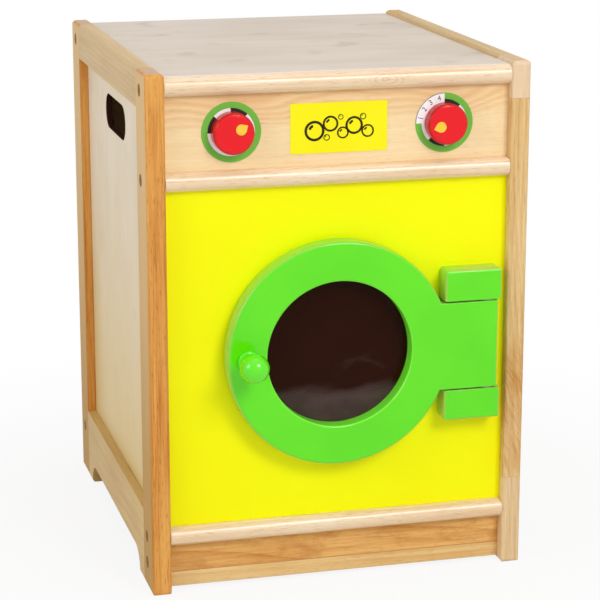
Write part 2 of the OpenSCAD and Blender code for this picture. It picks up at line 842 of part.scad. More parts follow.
module dial_washer(side)
    color(steel) at_dial(side, y_dial_washer) translate([0, 0, -dial_washer_t]) difference() {
        cylinder(d = dial_washer_d, h = dial_washer_t, $fn = 32);
        translate([0, 0, -eps])
            cylinder(r = small_screw_d / 2 + tight_fit, h = dial_washer_t + 2 * eps, $fn = 24);
    }

module dial_screw(side)
    color(steel) translate([side * dial_x, y_dial_washer + dial_washer_t, dial_z])
        small_screw(dial_washer_t + dial_screw_bite);

front_stile(-1);  // front_stile_left
front_stile(1);  // front_stile_right
back_stile(-1);  // back_stile_left
back_stile(1);  // back_stile_right
top_rail(-1);  // top_rail_left
top_rail(1);  // top_rail_right
bottom_rail(-1);  // bottom_rail_left
bottom_rail(1);  // bottom_rail_right
side_panel(-1);  // side_panel_left
side_panel(1);  // side_panel_right
frame_dowels(-1);  // frame_dowels_left
frame_dowels(1);  // frame_dowels_right
frame_screws(-1);  // frame_screws_left
frame_screws(1);  // frame_screws_right
screw_plugs(-1);  // screw_plugs_left
screw_plugs(1);  // screw_plugs_right
top_board();
floor_board();
back_panel();
back_screws();
top_cleat(-1);  // top_cleat_left
top_cleat(1);  // top_cleat_right
floor_cleat(-1);  // floor_cleat_left
floor_cleat(1);  // floor_cleat_right
top_nosing();
middle_nosing();
bottom_nosing();
kick_board();
back_top_rail();
back_bottom_rail();
control_panel();
front_panel();
control_label();
dial_disc(-1);  // dial_disc_left
dial_disc(1);  // dial_disc_right
hinge_block(1);  // hinge_block_upper
hinge_block(-1);  // hinge_block_lower
hinge_pins();
hinge_washers();
hinge_screws();
door_magnet();
door_ring();
door_window();
window_retainer();
retainer_screws();
door_knob();
door_knob_screw();
strike_plate();
dial_knob(-1);  // dial_knob_left
dial_pointer(-1, pointer_left);  // dial_pointer_left
dial_spindle(-1);  // dial_spindle_left
dial_washer(-1);  // dial_washer_left
dial_screw(-1);  // dial_screw_left
dial_knob(1);  // dial_knob_right
dial_pointer(1, pointer_right);  // dial_pointer_right
dial_spindle(1);  // dial_spindle_right
dial_washer(1);  // dial_washer_right
dial_screw(1);  // dial_screw_right
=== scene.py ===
# %% [markdown]
# # A toy washing machine, dressed for the camera
# The wooden cabinet, its door and its dials arrive as one fixed frame of plain solids, and each
# solid already has its true shape and place. This lesson gives them their finishes: lacquered
# wood, plywood, paint, print, smoked acrylic and steel. It also adds the small things that solids
# don't hold, such as printed numbers and proper screw heads. One unit is one metre.

# %% Load the frame
import math

import bmesh
import bpy
from mathutils import Matrix, Vector


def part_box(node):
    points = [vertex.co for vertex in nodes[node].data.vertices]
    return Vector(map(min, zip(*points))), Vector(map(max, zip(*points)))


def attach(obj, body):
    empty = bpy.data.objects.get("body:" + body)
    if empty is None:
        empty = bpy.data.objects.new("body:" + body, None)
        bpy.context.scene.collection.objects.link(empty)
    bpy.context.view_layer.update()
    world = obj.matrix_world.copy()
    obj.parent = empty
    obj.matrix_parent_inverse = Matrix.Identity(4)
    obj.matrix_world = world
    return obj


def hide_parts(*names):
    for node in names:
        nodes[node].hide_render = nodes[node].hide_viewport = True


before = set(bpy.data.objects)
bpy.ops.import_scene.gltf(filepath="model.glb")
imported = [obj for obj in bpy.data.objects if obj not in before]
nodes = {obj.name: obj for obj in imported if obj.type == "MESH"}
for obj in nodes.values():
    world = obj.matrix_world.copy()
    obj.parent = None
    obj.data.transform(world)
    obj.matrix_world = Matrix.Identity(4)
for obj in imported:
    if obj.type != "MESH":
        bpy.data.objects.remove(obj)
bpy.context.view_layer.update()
scene = bpy.context.scene

# %% [markdown]
# ## Where things are
# A print or a screw has to land on the piece that carries it. Its place could be typed in, but
# then it would stay behind if the piece moved, so it is read from the solids. Only marks along a
# board, such as its glued seams, are typed in. The front of the cabinet faces -Y, and Z is up.

# %% Measuring helpers
MM = 0.001


def made(*tools):
    """Prints the names of the helpers that a cell has made."""
    print("made:", ", ".join(tool.__name__ for tool in tools))


def middle(name):
    """The middle of a solid's box."""
    low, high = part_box(name)
    return (low + high) / 2


def front(name):
    """How far forward a solid reaches: its lowest Y."""
    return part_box(name)[0].y


made(middle, front)

# %% [markdown]
# ## The camera
# A long lens, far away, keeps the cabinet's verticals almost parallel, as a close one wouldn't. It
# stands left of the middle and a little above the top, so the left side and the top board show as
# narrow strips. A camera looks along its own -Z, so it is first tipped up by nearly a quarter turn
# about X, and then turned about Z.

# %% Camera
YAW, PITCH = 0.2579, 0.2512
CAMERA_PLACE = (-0.5329, -2.0476, 0.7725)
SENSOR_WIDTH, LENS = 36, 131.3
VIEW_REACH = 100
camera = bpy.data.objects.new("studio_camera", bpy.data.cameras.new("studio_camera"))
scene.collection.objects.link(camera)
camera.data.sensor_width = SENSOR_WIDTH
camera.data.lens = LENS
camera.data.clip_end = VIEW_REACH
camera.location = CAMERA_PLACE
camera.rotation_euler = (math.pi / 2 - PITCH, 0, -YAW)
scene.camera = camera
scene.view_settings.view_transform = "Standard"
print("camera", round(camera.location.length, 2), "m away")

# %% [markdown]
# ## Helpers for shader trees
# A finish is a tree of small nodes. It could be clicked together by hand, but a tree written with
# short helpers can be read, changed and used again. One helper puts a node down and plugs its
# inputs, and the others are shorthands for the nodes that come up most. Each returns an output
# socket, so calls can be nested like a formula.

# %% Put a node down


def srgb(red, green, blue):
    """A colour given from 0 to 255, as the linear values that shaders work in."""
    channels = []
    for value in (red / 255, green / 255, blue / 255):
        channels.append(value / 12.92 if value <= 0.04045 else ((value + 0.055) / 1.055) ** 2.4)
    return (*channels, 1.0)


def plug(tree, socket, value):
    """Links a socket to another, or sets its plain value."""
    if isinstance(value, bpy.types.NodeSocket):
        tree.links.new(value, socket)
    else:
        socket.default_value = value


def put(tree, kind, plugs=(), **settings):
    """Adds one node. plugs names its inputs, and settings its other properties."""
    node = tree.nodes.new(kind)
    for name, value in settings.items():
        setattr(node, name, value)
    for name, value in dict(plugs).items():
        plug(tree, node.inputs[name], value)
    return node


made(srgb, plug, put)
print("mid grey is", round(srgb(128, 128, 128)[0], 3), "to a shader")

# %% [markdown]
# Most of a tree is arithmetic on masks: a mask is 1 where a tone belongs and 0 elsewhere. The
# Math node does one sum at a time, which makes long trees, so these shorthands name the sums that
# come back often: a soft threshold, a stretch between two values, a thin line, and a mixture.

# %% Sums and mixtures


def calc(tree, operation, first, second=0.0, third=0.0, clamp=False):
    """One sum of the Math node."""
    node = put(tree, "ShaderNodeMath", operation=operation, use_clamp=clamp)
    for socket, value in zip(node.inputs, (first, second, third)):
        plug(tree, socket, value)
    return node.outputs[0]


def step(tree, value, start, end):
    """0 below start, 1 above end, and a smooth slope between; start may be the larger."""
    inputs = {"Value": value, "From Min": start, "From Max": end}
    return put(tree, "ShaderNodeMapRange", inputs, interpolation_type="SMOOTHSTEP").outputs[0]


def between(tree, value, start, end):
    """1 where start < value < end, with hard sides."""
    return calc(tree, "MULTIPLY", calc(tree, "GREATER_THAN", value, start),
                calc(tree, "LESS_THAN", value, end))


def line_at(tree, value, place, half_width, core=0.2 * MM):
    """1 on a soft line where value passes place, down to 0 at half_width."""
    away = calc(tree, "ABSOLUTE", calc(tree, "SUBTRACT", value, place))
    return step(tree, away, half_width, core)


def blend(tree, share, first, second):
    """Two colours mixed."""
    node = put(tree, "ShaderNodeMix", data_type="RGBA")
    for index, value in ((0, share), (6, first), (7, second)):
        plug(tree, node.inputs[index], value)
    return node.outputs[2]


def toned(colour, factor):
    """A plain colour made darker or lighter by a factor."""
    return (*(min(1.0, channel * factor) for channel in colour[:3]), 1.0)


made(calc, step, between, line_at, blend, toned)

# %% [markdown]
# Patterns need a place to start from. Object coordinates are metres in the frame's own axes, so a
# pattern keeps its true size on every piece. Stretching them before they reach a Noise Texture
# turns round blots into fibres: a large factor packs the pattern tightly across the grain, and a
# small one lets it run long beside the grain.

# %% Coordinates and noise


def object_place(tree):
    """Where the shaded point lies, in metres."""
    return put(tree, "ShaderNodeTexCoord").outputs["Object"]


def split(tree, vector):
    """A vector's three numbers."""
    return put(tree, "ShaderNodeSeparateXYZ", {0: vector}).outputs


def join(tree, x=0.0, y=0.0, z=0.0):
    """A vector of three numbers."""
    return put(tree, "ShaderNodeCombineXYZ", {0: x, 1: y, 2: z}).outputs[0]


def stretch(tree, place, factors):
    """The place scaled by one factor for each axis."""
    node = put(tree, "ShaderNodeVectorMath", {0: place, 1: factors}, operation="MULTIPLY")
    return node.outputs[0]


def scaled(tree, vector, amount):
    """A vector times one number."""
    inputs = {0: vector, "Scale": amount}
    return put(tree, "ShaderNodeVectorMath", inputs, operation="SCALE").outputs[0]


def shift(tree, place, offset):
    """The place moved, so that two boards don't repeat each other."""
    return put(tree, "ShaderNodeVectorMath", {0: place, 1: offset}, operation="ADD").outputs[0]


def length(tree, vector):
    """How long a vector is."""
    return put(tree, "ShaderNodeVectorMath", {0: vector}, operation="LENGTH").outputs["Value"]


def off_axis(tree, centre):
    """How far a point lies from the line through centre that runs front to back."""
    return length(tree, stretch(tree, shift(tree, object_place(tree), -centre), (1, 0, 1)))


def noise(tree, place, factors=(1, 1, 1), detail=2.0, roughness=0.5):
    """A noise from 0 to 1 with its middle near 0.5."""
    inputs = {"Vector": stretch(tree, place, factors), "Scale": 1.0, "Detail": detail,
              "Roughness": roughness}
    return put(tree, "ShaderNodeTexNoise", inputs).outputs[0]


made(object_place, split, join, stretch, scaled, shift, length, off_axis, noise)

# %% [markdown]
# Real edges are never sharp. Rounding every edge of every solid would change the frame's meshes,
# so the Bevel node only bends the shading normal near an edge as if it were rounded. Comparing
# that normal with the true one gives a mask that is 1 on edges and 0 on flats, and the mask paints
# what hands and sanding do there, together with a painted highlight where a rounded edge would
# catch the light.

# %% Edges and faces
ALIKE_ON_FLATS, ALIKE_ON_EDGES = 0.995, 0.8
TURNED, SQUARE_ON = 0.75, 0.95


def rounded(tree, radius):
    """The normal, bent near edges as if they were rounded."""
    return put(tree, "ShaderNodeBevel", {"Radius": radius}, samples=4).outputs[0]


def edge_mask(tree, bent):
    """1 where the bent normal has left the true one, which is near an edge."""
    flat = put(tree, "ShaderNodeNewGeometry").outputs["Normal"]
    alike = put(tree, "ShaderNodeVectorMath", {0: bent, 1: flat}, operation="DOT_PRODUCT")
    return step(tree, alike.outputs["Value"], ALIKE_ON_FLATS, ALIKE_ON_EDGES)


def facing(tree, along):
    """1 on faces that look along the axis, such as end grain; 0 on the others."""
    normal = put(tree, "ShaderNodeTexCoord").outputs["Normal"]
    part = split(tree, normal)["XYZ".index(along)]
    return step(tree, calc(tree, "ABSOLUTE", part), TURNED, SQUARE_ON)


def turned_away(tree):
    """1 on faces that look anywhere but forward or back."""
    return calc(tree, "SUBTRACT", 1.0, facing(tree, "Y"))


made(rounded, edge_mask, facing, turned_away)

# %% [markdown]
# Every finish is built on the same shader. Principled has a base, a clear coat on top and a
# specular level, which together cover lacquer, paint, print and metal, so one helper wires it for
# all. The window mixes a see-through shader into it later.

# %% Materials


def new_material(name):
    """An empty material with a Principled shader, its tree and that shader."""
    material = bpy.data.materials.new(name)
    material.use_nodes = True
    tree = material.node_tree
    tree.nodes.clear()
    shader = put(tree, "ShaderNodeBsdfPrincipled")
    output = put(tree, "ShaderNodeOutputMaterial")
    tree.links.new(shader.outputs[0], output.inputs["Surface"])
    return material, tree, shader


def finish_surface(tree, shader, colour, roughness, relief, depth, normal, coat=0.0, shine=0.25,
                   coat_roughness=0.12):
    """Plugs a finish into its shader.

    depth is how deep the relief is, in metres, and shine is the specular level, which says how
    much the bare surface mirrors.
    """
    bump = put(tree, "ShaderNodeBump", {"Strength": 1.0, "Distance": depth, "Height": relief,
                                        "Normal": normal}).outputs[0]
    for name, value in (("Base Color", colour), ("Roughness", roughness), ("Normal", bump),
                        ("Coat Weight", coat), ("Coat Roughness", coat_roughness),
                        ("Specular IOR Level", shine)):
        plug(tree, shader.inputs[name], value)
    if coat:
        tree.links.new(normal, shader.inputs["Coat Normal"])


finishes = {}
made(new_material, finish_surface)

# %% [markdown]
# ## Floor, sky and lamps
# The floor is plain and pale. To the camera, and to anything that mirrors it, it glows white, but
# near the cabinet some of the real, lit floor shows through, which keeps the soft shadow. For all
# other light it is an ordinary pale floor that throws light back up. A stronger lamp could whiten
# it too, but that would bleach the cabinet.

# %% Floor
FLOOR_REACH = 30.0
PALE, WHITE = (0.8, 0.8, 0.8, 1), (1, 1, 1, 1)
SHADOW_START, SHADOW_END = 0.2, 0.75
LIT_SHARE = 0.12


def seen_directly(tree):
    """1 for what the camera, a mirror or a pane sees; 0 for the light that only bounces."""
    ray = put(tree, "ShaderNodeLightPath").outputs
    seen = calc(tree, "ADD", ray["Is Camera Ray"], ray["Is Glossy Ray"])
    return calc(tree, "ADD", seen, ray["Is Transmission Ray"], clamp=True)


floor_mesh = bpy.data.meshes.new("studio_floor")
corners = [(x * FLOOR_REACH, y * FLOOR_REACH, 0) for x, y in ((-1, -1), (1, -1), (1, 1), (-1, 1))]
floor_mesh.from_pydata(corners, [], [(0, 1, 2, 3)])
floor = bpy.data.objects.new("studio_floor", floor_mesh)
scene.collection.objects.link(floor)

floor_finish = bpy.data.materials.new("pale_floor")
floor_finish.use_nodes = True
tree = floor_finish.node_tree
tree.nodes.clear()
lit = put(tree, "ShaderNodeBsdfDiffuse", {"Color": PALE}).outputs[0]
glow = put(tree, "ShaderNodeEmission", {"Color": WHITE, "Strength": 1.0}).outputs[0]
far = step(tree, length(tree, object_place(tree)), SHADOW_START, SHADOW_END)
white_share = calc(tree, "MULTIPLY_ADD", far, LIT_SHARE, 1 - LIT_SHARE)
share = calc(tree, "MULTIPLY", white_share, seen_directly(tree))
surface = put(tree, "ShaderNodeMixShader", {0: share, 1: lit, 2: glow}).outputs[0]
tree.links.new(surface, put(tree, "ShaderNodeOutputMaterial").inputs[0])
floor_mesh.materials.append(floor_finish)
print("floor:", 2 * FLOOR_REACH, "m wide")

# %% [markdown]
# The sky does the same: white to look at, dimmer as a light. A picture of a real studio could
# stand here instead, but an even sky keeps every colour about as it is written.

# %% Sky
SKY_LIGHT = 0.5
world = bpy.data.worlds.new("studio_sky")
scene.world = world
world.use_nodes = True
tree = world.node_tree
tree.nodes.clear()
strength = calc(tree, "MULTIPLY_ADD", seen_directly(tree), 1.0 - SKY_LIGHT, SKY_LIGHT)
sky = put(tree, "ShaderNodeBackground", {"Color": WHITE, "Strength": strength})
tree.links.new(sky.outputs[0], put(tree, "ShaderNodeOutputWorld").inputs[0])
print("sky light:", SKY_LIGHT)

# %% [markdown]
# Three large area lamps do the rest: one left, one right, and one overhead. Small lamps could be
# as bright, but large ones make soft shadows, and their reflections are the highlights on the
# knob and on the rounded rails.

# %% Lamps
CABINET_MIDDLE, CABINET_UPPER = (0, 0, 0.25), (0, 0, 0.3)


def lamp(name, place, target, width, height, watts):
    """A soft rectangular lamp that faces its target."""
    light = bpy.data.lights.new(name, "AREA")
    light.shape = "RECTANGLE"
    light.size, light.size_y, light.energy = width, height, watts
    holder = bpy.data.objects.new(name, light)
    holder.location = place
    aim = Vector(target) - Vector(place)
    holder.rotation_euler = aim.to_track_quat("-Z", "Y").to_euler()
    scene.collection.objects.link(holder)


lamp("lamp_left", (-2.3, -1.0, 1.35), CABINET_MIDDLE, width=1.0, height=1.2, watts=15)
lamp("lamp_right", (0.9, -2.4, 2.0), CABINET_MIDDLE, width=1.1, height=1.1, watts=36)
lamp("lamp_above", (0.0, -0.2, 2.3), CABINET_UPPER, width=1.6, height=1.6, watts=4)

# %% [markdown]
# ## Wood that grew
# A board is a slice of a trunk, so its figure is best made as one: rings around a pith that runs
# beside the grain, a little crooked. Where the pith leans, the rings come out as arches; where it
# lies far away, as straight lines. The same solid pattern gives the right end grain with no extra
# work, which a flat picture of wood can't do. All of it is one node group with named inputs, and
# each board sets them for itself.

# %% The wood group's inputs and outputs
WOOD_INPUTS = {
    "Place": ("NodeSocketVector", (0, 0, 0)),
    "Pith Across": ("NodeSocketFloat", 0.06),
    "Pith Deep": ("NodeSocketFloat", 0.04),
    "Lean": ("NodeSocketFloat", 0.03),
    "Ring Width": ("NodeSocketFloat", 0.005),
    "Rings": ("NodeSocketFloat", 0.5),
    "Fibres": ("NodeSocketFloat", 0.5),
    "Pores": ("NodeSocketFloat", 0.3),
    "Patches": ("NodeSocketFloat", 0.5),
    "Light": ("NodeSocketColor", (1, 1, 1, 1)),
    "Dark": ("NodeSocketColor", (0, 0, 0, 1)),
    "Pore": ("NodeSocketColor", (0, 0, 0, 1)),
}
wood_group = bpy.data.node_groups.new("grown_wood", "ShaderNodeTree")
sockets = wood_group.interface
for name, (kind, value) in WOOD_INPUTS.items():
    sockets.new_socket(name=name, in_out="INPUT", socket_type=kind).default_value = value
for name, kind in (("Colour", "NodeSocketColor"), ("Height", "NodeSocketFloat")):
    sockets.new_socket(name=name, in_out="OUTPUT", socket_type=kind)
print("wood group with", len(WOOD_INPUTS), "inputs")

# %% [markdown]
# Inside the group, local Z runs beside the grain. A slow noise bends the pith's distance, the
# distance divided by the ring width counts the rings, and each ring darkens slowly towards its
# late wood and then stops short. A white noise on the count gives every ring its own strength, as
# good and poor summers did.

# %% Rings
SWAY = (9, 9, 3)
SWAY_ACROSS, SWAY_DEEP = 0.030, 0.016
LATE_WOOD = 2.2
tree = wood_group
given = put(tree, "NodeGroupInput").outputs
axis = split(tree, given["Place"])
sway = calc(tree, "SUBTRACT", noise(tree, given["Place"], SWAY), 0.5)
across = calc(tree, "MULTIPLY_ADD", axis[2], given["Lean"],
              calc(tree, "ADD", axis[0], given["Pith Across"]))
across = calc(tree, "MULTIPLY_ADD", sway, SWAY_ACROSS, across)
deep = calc(tree, "MULTIPLY_ADD", sway, SWAY_DEEP,
            calc(tree, "ADD", axis[1], given["Pith Deep"]))
count = calc(tree, "DIVIDE", length(tree, join(tree, across, deep)), given["Ring Width"])
through = calc(tree, "FRACT", count)
late = calc(tree, "MULTIPLY", calc(tree, "POWER", through, LATE_WOOD),
            step(tree, through, 1.0, 0.9))
summer = put(tree, "ShaderNodeTexWhiteNoise", {"W": calc(tree, "FLOOR", count)},
             noise_dimensions="1D").outputs["Value"]
ring = calc(tree, "MULTIPLY", late, calc(tree, "MULTIPLY_ADD", summer, 0.8, 0.3))
print("rings drift by up to", round(SWAY_ACROSS / 2 / MM), "mm")

# %% [markdown]
# Fibres are noise drawn out to needles, streaks are wider needles, and pores are the few very thin
# ones that pass a threshold. Together with the rings they decide how far each point's colour moves
# from the light tone to the dark one. Fibres stand up a little and pores are pits, which gives the
# group's second output, the relief.

# %% Fibres and pores
FIBRE, STREAK, PATCH, PORE = (750, 750, 16), (170, 170, 4.5), (16, 16, 7), (1500, 1500, 95)
BASE_SHARE = 0.30
fibre = noise(tree, given["Place"], FIBRE, detail=3, roughness=0.6)
streak = noise(tree, given["Place"], STREAK)
patch = noise(tree, given["Place"], PATCH)
pore = step(tree, noise(tree, given["Place"], PORE, detail=1), 0.62, 0.74)

share = calc(tree, "MULTIPLY_ADD", ring, given["Rings"], BASE_SHARE)
for part, amount, gain in ((fibre, "Fibres", 1.9), (streak, "Fibres", 1.6),
                           (patch, "Patches", 1.6)):
    swing = calc(tree, "MULTIPLY", calc(tree, "SUBTRACT", part, 0.5), gain)
    share = calc(tree, "MULTIPLY_ADD", swing, given[amount], share)
share = calc(tree, "ADD", share, 0.0, clamp=True)
board = blend(tree, share, given["Light"], given["Dark"])
board = blend(tree, calc(tree, "MULTIPLY", pore, given["Pores"]), board, given["Pore"])
height = calc(tree, "MULTIPLY_ADD", pore, -0.8, calc(tree, "MULTIPLY", fibre, 0.5))
result = put(tree, "NodeGroupOutput")
tree.links.new(board, result.inputs["Colour"])
tree.links.new(height, result.inputs["Height"])
print("wood group:", len(tree.nodes), "nodes")

# %% [markdown]
# ## A lacquered board
# A board's finish wraps the group. It turns the frame's axes so that local Z follows the board's
# own grain, and moves them, so that no two boards are cut from the same spot. Real boards are also
# glued up from shorter blocks. The figure can't run through a glued seam, so inside each block the
# place jumps to another part of the trunk.

# %% Figure and glued blocks
ORDER = {"X": (1, 2, 0), "Y": (0, 2, 1), "Z": (0, 1, 2)}
BLOCK_JUMP = (0.31, 0.17, 0.23)
GLUE_LINE, GLUE_SHARE = 0.6 * MM, 0.35


def grain_place(tree, along, offset):
    """Object coordinates with the grain's axis last, moved by offset."""
    axis = split(tree, object_place(tree))
    return shift(tree, join(tree, *(axis[i] for i in ORDER[along])), offset)


def board_figure(tree, place, **inputs):
    """The wood group's colour and relief. inputs sets its other sockets by name."""
    group = put(tree, "ShaderNodeGroup", {"Place": place}, node_tree=wood_group)
    for name, value in inputs.items():
        plug(tree, group.inputs[name.replace("_", " ").title()], value)
    return group.outputs["Colour"], group.outputs["Height"]


def shift_blocks(tree, place, beside, blocks):
    """Moves the figure inside each glued block."""
    for block in blocks:
        inside = between(tree, beside, *block[:2])
        place = shift(tree, place, scaled(tree, BLOCK_JUMP, inside))
    return place


def tone_blocks(tree, colour, beside, blocks, seam_tone):
    """Gives each glued block its own tone, and draws a glue line at its two ends."""
    for start, end, tone, share in blocks:
        inside = between(tree, beside, start, end)
        colour = blend(tree, calc(tree, "MULTIPLY", inside, share), colour, tone)
    for block in blocks:
        for seam in block[:2]:
            line = calc(tree, "MULTIPLY", line_at(tree, beside, seam, GLUE_LINE), GLUE_SHARE)
            colour = blend(tree, line, colour, seam_tone)
    return colour


made(grain_place, board_figure, shift_blocks, tone_blocks)

# %% [markdown]
# Two kinds of figure are too local for the group: the swirl beside a branch, where slanting flecks
# cross the board, and a knot, a few rings round a twig. Both are painted over the plain figure
# with masks of their own, so that they sit exactly where the maker's board had them.

# %% Swirls and knots
SWIRL_BEND, SWIRL_TILT = (0.012, 0, 0), (0, 0.36, 0)
KNOT_OVAL, KNOT_RING = (0.55, 1, 1), 1.7 * MM


def swirl_figure(tree, colour, beside, start, end, tone):
    """Slanting flecks between two places along the board."""
    place = object_place(tree)
    bent = shift(tree, place, scaled(tree, SWIRL_BEND, noise(tree, place, (30, 30, 30))))
    turned = put(tree, "ShaderNodeMapping", {"Vector": bent, "Rotation": SWIRL_TILT}).outputs[0]
    slant = noise(tree, turned, (420, 420, 30), detail=3, roughness=0.7)
    flecks = calc(tree, "MULTIPLY_ADD", step(tree, slant, 0.40, 0.75), 0.6, 0.2)
    reach = calc(tree, "MULTIPLY", step(tree, beside, start, start + 0.025),
                 step(tree, beside, end, end - 0.035))
    return blend(tree, calc(tree, "MULTIPLY", flecks, reach), colour, tone)


def knot_figure(tree, colour, centre, spread, tone):
    """A few crooked, oval rings round a twig at centre."""
    place = object_place(tree)
    away = length(tree, stretch(tree, shift(tree, place, -centre), KNOT_OVAL))
    crooked = calc(tree, "MULTIPLY_ADD", noise(tree, place, (110, 110, 110)), 7 * MM, away)
    rings = calc(tree, "PINGPONG", crooked, KNOT_RING)
    share = calc(tree, "MULTIPLY", step(tree, rings, 0.3 * MM, 1.6 * MM),
                 step(tree, away, spread, 0.2 * spread))
    return blend(tree, calc(tree, "MULTIPLY", share, 0.45), colour, tone)


made(swirl_figure, knot_figure)

# %% [markdown]
# The sides and ends of a stile get other tones as painted light and shade: pale and dull high up,
# darker towards the foot, greyer on the ends. A second material could cover them, but then the
# solid's faces would have to be sorted. A mask on the normal picks them as is.

# %% Painted side shading


def side_shading_tones(tree, colour, along, relief, upper, lower, ends, share):
    """Blends in the tones of the sides and the ends, by how much share says."""
    place = object_place(tree)
    level = calc(tree, "MULTIPLY_ADD", noise(tree, place, (14, 14, 5)), 0.12,
                 split(tree, place)[2])
    # Painted light and shade: pale and dull high on the sides, dark at the foot, greyer on the
    # ends.
    tone = blend(tree, step(tree, level, 0.50, 0.10), upper, lower)
    tone = blend(tree, facing(tree, along), tone, ends)
    mottle = calc(tree, "MULTIPLY_ADD", relief, -0.35, share)
    sides = calc(tree, "ADD", facing(tree, "X"), facing(tree, along))
    return blend(tree, calc(tree, "MULTIPLY", sides, mottle, clamp=True), colour, tone)


made(side_shading_tones)

# %% [markdown]
# The finish puts these layers together. It darkens the end grain, where cut fibres drink more
# lacquer, lightens the edges, partly as sanding wear and partly as a painted highlight of the
# rounded edge, and adds a coat. The coat stays weak on flat boards, because seen at a shallow
# angle it mirrors the bright room and washes the colour out.

# %% The board's finish
WOOD_RELIEF = 0.12 * MM
END_GRAIN, END_GRAIN_WITH_SIDE_SHADING = 0.45, 0.05


def wood(name, along, offset, light, dark, pore, coat=0.06, roughness=0.42, shine=0.08,
         coat_roughness=0.12, radius=1.2 * MM, edge_tone=None, edge_share=0.25, blocks=(),
         swirl=None, knot=None, side_shading=None, **figure):
    """A lacquered board. figure sets the wood group's other inputs by name.

    blocks lists (start, end, tone, share) for shorter pieces glued into the board, and swirl is
    (start, end, tone), both measured along the board. knot is (centre, spread, tone), and
    side_shading is (top tone, foot tone, end tone, share), painted light and shade on the sides
    and ends.
    """
    material, tree, shader = new_material(name)
    place = grain_place(tree, along, (0, 0, 0))
    beside = split(tree, place)[2]
    place = shift_blocks(tree, shift(tree, place, offset), beside, blocks)
    colour, relief = board_figure(tree, place, light=light, dark=dark, pore=pore, **figure)
    colour = tone_blocks(tree, colour, beside, blocks, dark)
    if swirl:
        colour = swirl_figure(tree, colour, beside, *swirl)
    if knot:
        colour = knot_figure(tree, colour, *knot)
    # Painted light and shade on the sides and ends, where the board asks for it.
    if side_shading:
        colour = side_shading_tones(tree, colour, along, relief, *side_shading)
    normal = rounded(tree, radius)
    edge = edge_mask(tree, normal)
    end_share = END_GRAIN_WITH_SIDE_SHADING if side_shading else END_GRAIN
    colour = blend(tree, calc(tree, "MULTIPLY", facing(tree, along), end_share), colour, dark)
    # Edges take the edge tone: by default a lighter one, partly sanding wear and partly a painted
    # highlight.
    colour = blend(tree, calc(tree, "MULTIPLY", edge, edge_share), colour,
                   edge_tone or toned(light, 1.25))
    rough = calc(tree, "MULTIPLY_ADD", relief, 0.15, roughness)
    finish_surface(tree, shader, colour, rough, relief, WOOD_RELIEF, normal, coat, shine,
                   coat_roughness)
    return material


made(wood)

# %% [markdown]
# ## The stiles
# The left stiles are orange rubberwood with short dark pores. The right ones come from paler
# planks, glued up from blocks, and the front one has a swirl low down. They could share one
# material, but no two boards of a real cabinet match, so each has its own offset and numbers.

# %% Stiles
RUBBERWOOD = dict(light=srgb(234, 172, 91), dark=srgb(194, 113, 40), pore=srgb(140, 78, 32))
PALE_RUBBER = dict(light=srgb(236, 204, 148), dark=srgb(206, 154, 88), pore=srgb(150, 104, 58))
PALE_BLOCK = srgb(246, 226, 200)
STILE_EDGE = 2.4 * MM
# Painted light and shade on the left stiles' sides: pale at the top, dark at the foot.
SIDE_SHADING_TONES = (srgb(230, 192, 130), srgb(186, 140, 40), srgb(208, 178, 144), 0.95)
END_BLOCKS = ((0.453, 0.5, PALE_BLOCK, 0.55), (-0.01, 0.087, PALE_BLOCK, 0.28))
BACK_BLOCK = (0.17, 0.34, PALE_BLOCK, 0.3)
SWIRL = (0.080, 0.235, srgb(192, 122, 38))

finishes["front_stile_left"] = wood(
    "rubberwood_front_left", "Z", (0.11, 0.03, 0.4), **RUBBERWOOD, side_shading=SIDE_SHADING_TONES,
    radius=STILE_EDGE, rings=0.4, fibres=1.0, pores=0.7, patches=0.7)
finishes["front_stile_right"] = wood(
    "rubberwood_front_right", "Z", (0.37, 0.2, 0.9), **PALE_RUBBER, blocks=END_BLOCKS,
    swirl=SWIRL, radius=STILE_EDGE, rings=0.5, fibres=0.8, pores=0.4, patches=0.7, lean=0.09)
finishes["back_stile_left"] = wood(
    "rubberwood_back_left", "Z", (0.7, 0.1, 0.2), **RUBBERWOOD, side_shading=SIDE_SHADING_TONES,
    radius=STILE_EDGE, rings=0.4, fibres=0.8, pores=0.35, patches=0.6)
finishes["back_stile_right"] = wood(
    "rubberwood_back_right", "Z", (0.9, 0.5, 0.6), **PALE_RUBBER, blocks=(BACK_BLOCK,),
    rings=0.5, fibres=0.7, pores=0.35, patches=0.6)
print("stiles finished:", len(finishes))

# %% [markdown]
# ## Rails and cleats
# They are plain lengths of two woods that hold the side frames and the boards together. Each could
# have its own numbers, but little of them shows, so loops make them and only the offset into the
# trunk changes.

# %% Rails and cleats
TOP_RAIL = dict(light=srgb(226, 194, 142), dark=srgb(200, 164, 110), pore=srgb(150, 112, 66))
BOTTOM_RAIL = dict(light=srgb(226, 192, 124), dark=srgb(198, 158, 90), pore=srgb(144, 104, 56))
INSIDE_FIGURE = dict(rings=0.5, fibres=0.6, pores=0.25, patches=0.5)
for number, name in enumerate(("top_rail_left", "top_rail_right", "bottom_rail_left",
                               "bottom_rail_right")):
    tones = TOP_RAIL if name.startswith("top") else BOTTOM_RAIL
    finishes[name] = wood("rubberwood_" + name, "Y", (0.3 * number, 0.17, 0.2), **tones,
                          rings=0.4, fibres=0.6, pores=0.3, patches=0.6)
for number, name in enumerate(("top_cleat_left", "top_cleat_right", "floor_cleat_left",
                               "floor_cleat_right")):
    finishes[name] = wood("cleat_" + name, "Y", (0.4, 0.13 * number, 0.7), **PALE_RUBBER,
                          **INSIDE_FIGURE)
for number, name in enumerate(("back_top_rail", "back_bottom_rail")):
    finishes[name] = wood("back_" + name, "X", (0.5, 0.23 * number, 0.1), **PALE_RUBBER,
                          **INSIDE_FIGURE)
print("boards finished:", len(finishes))

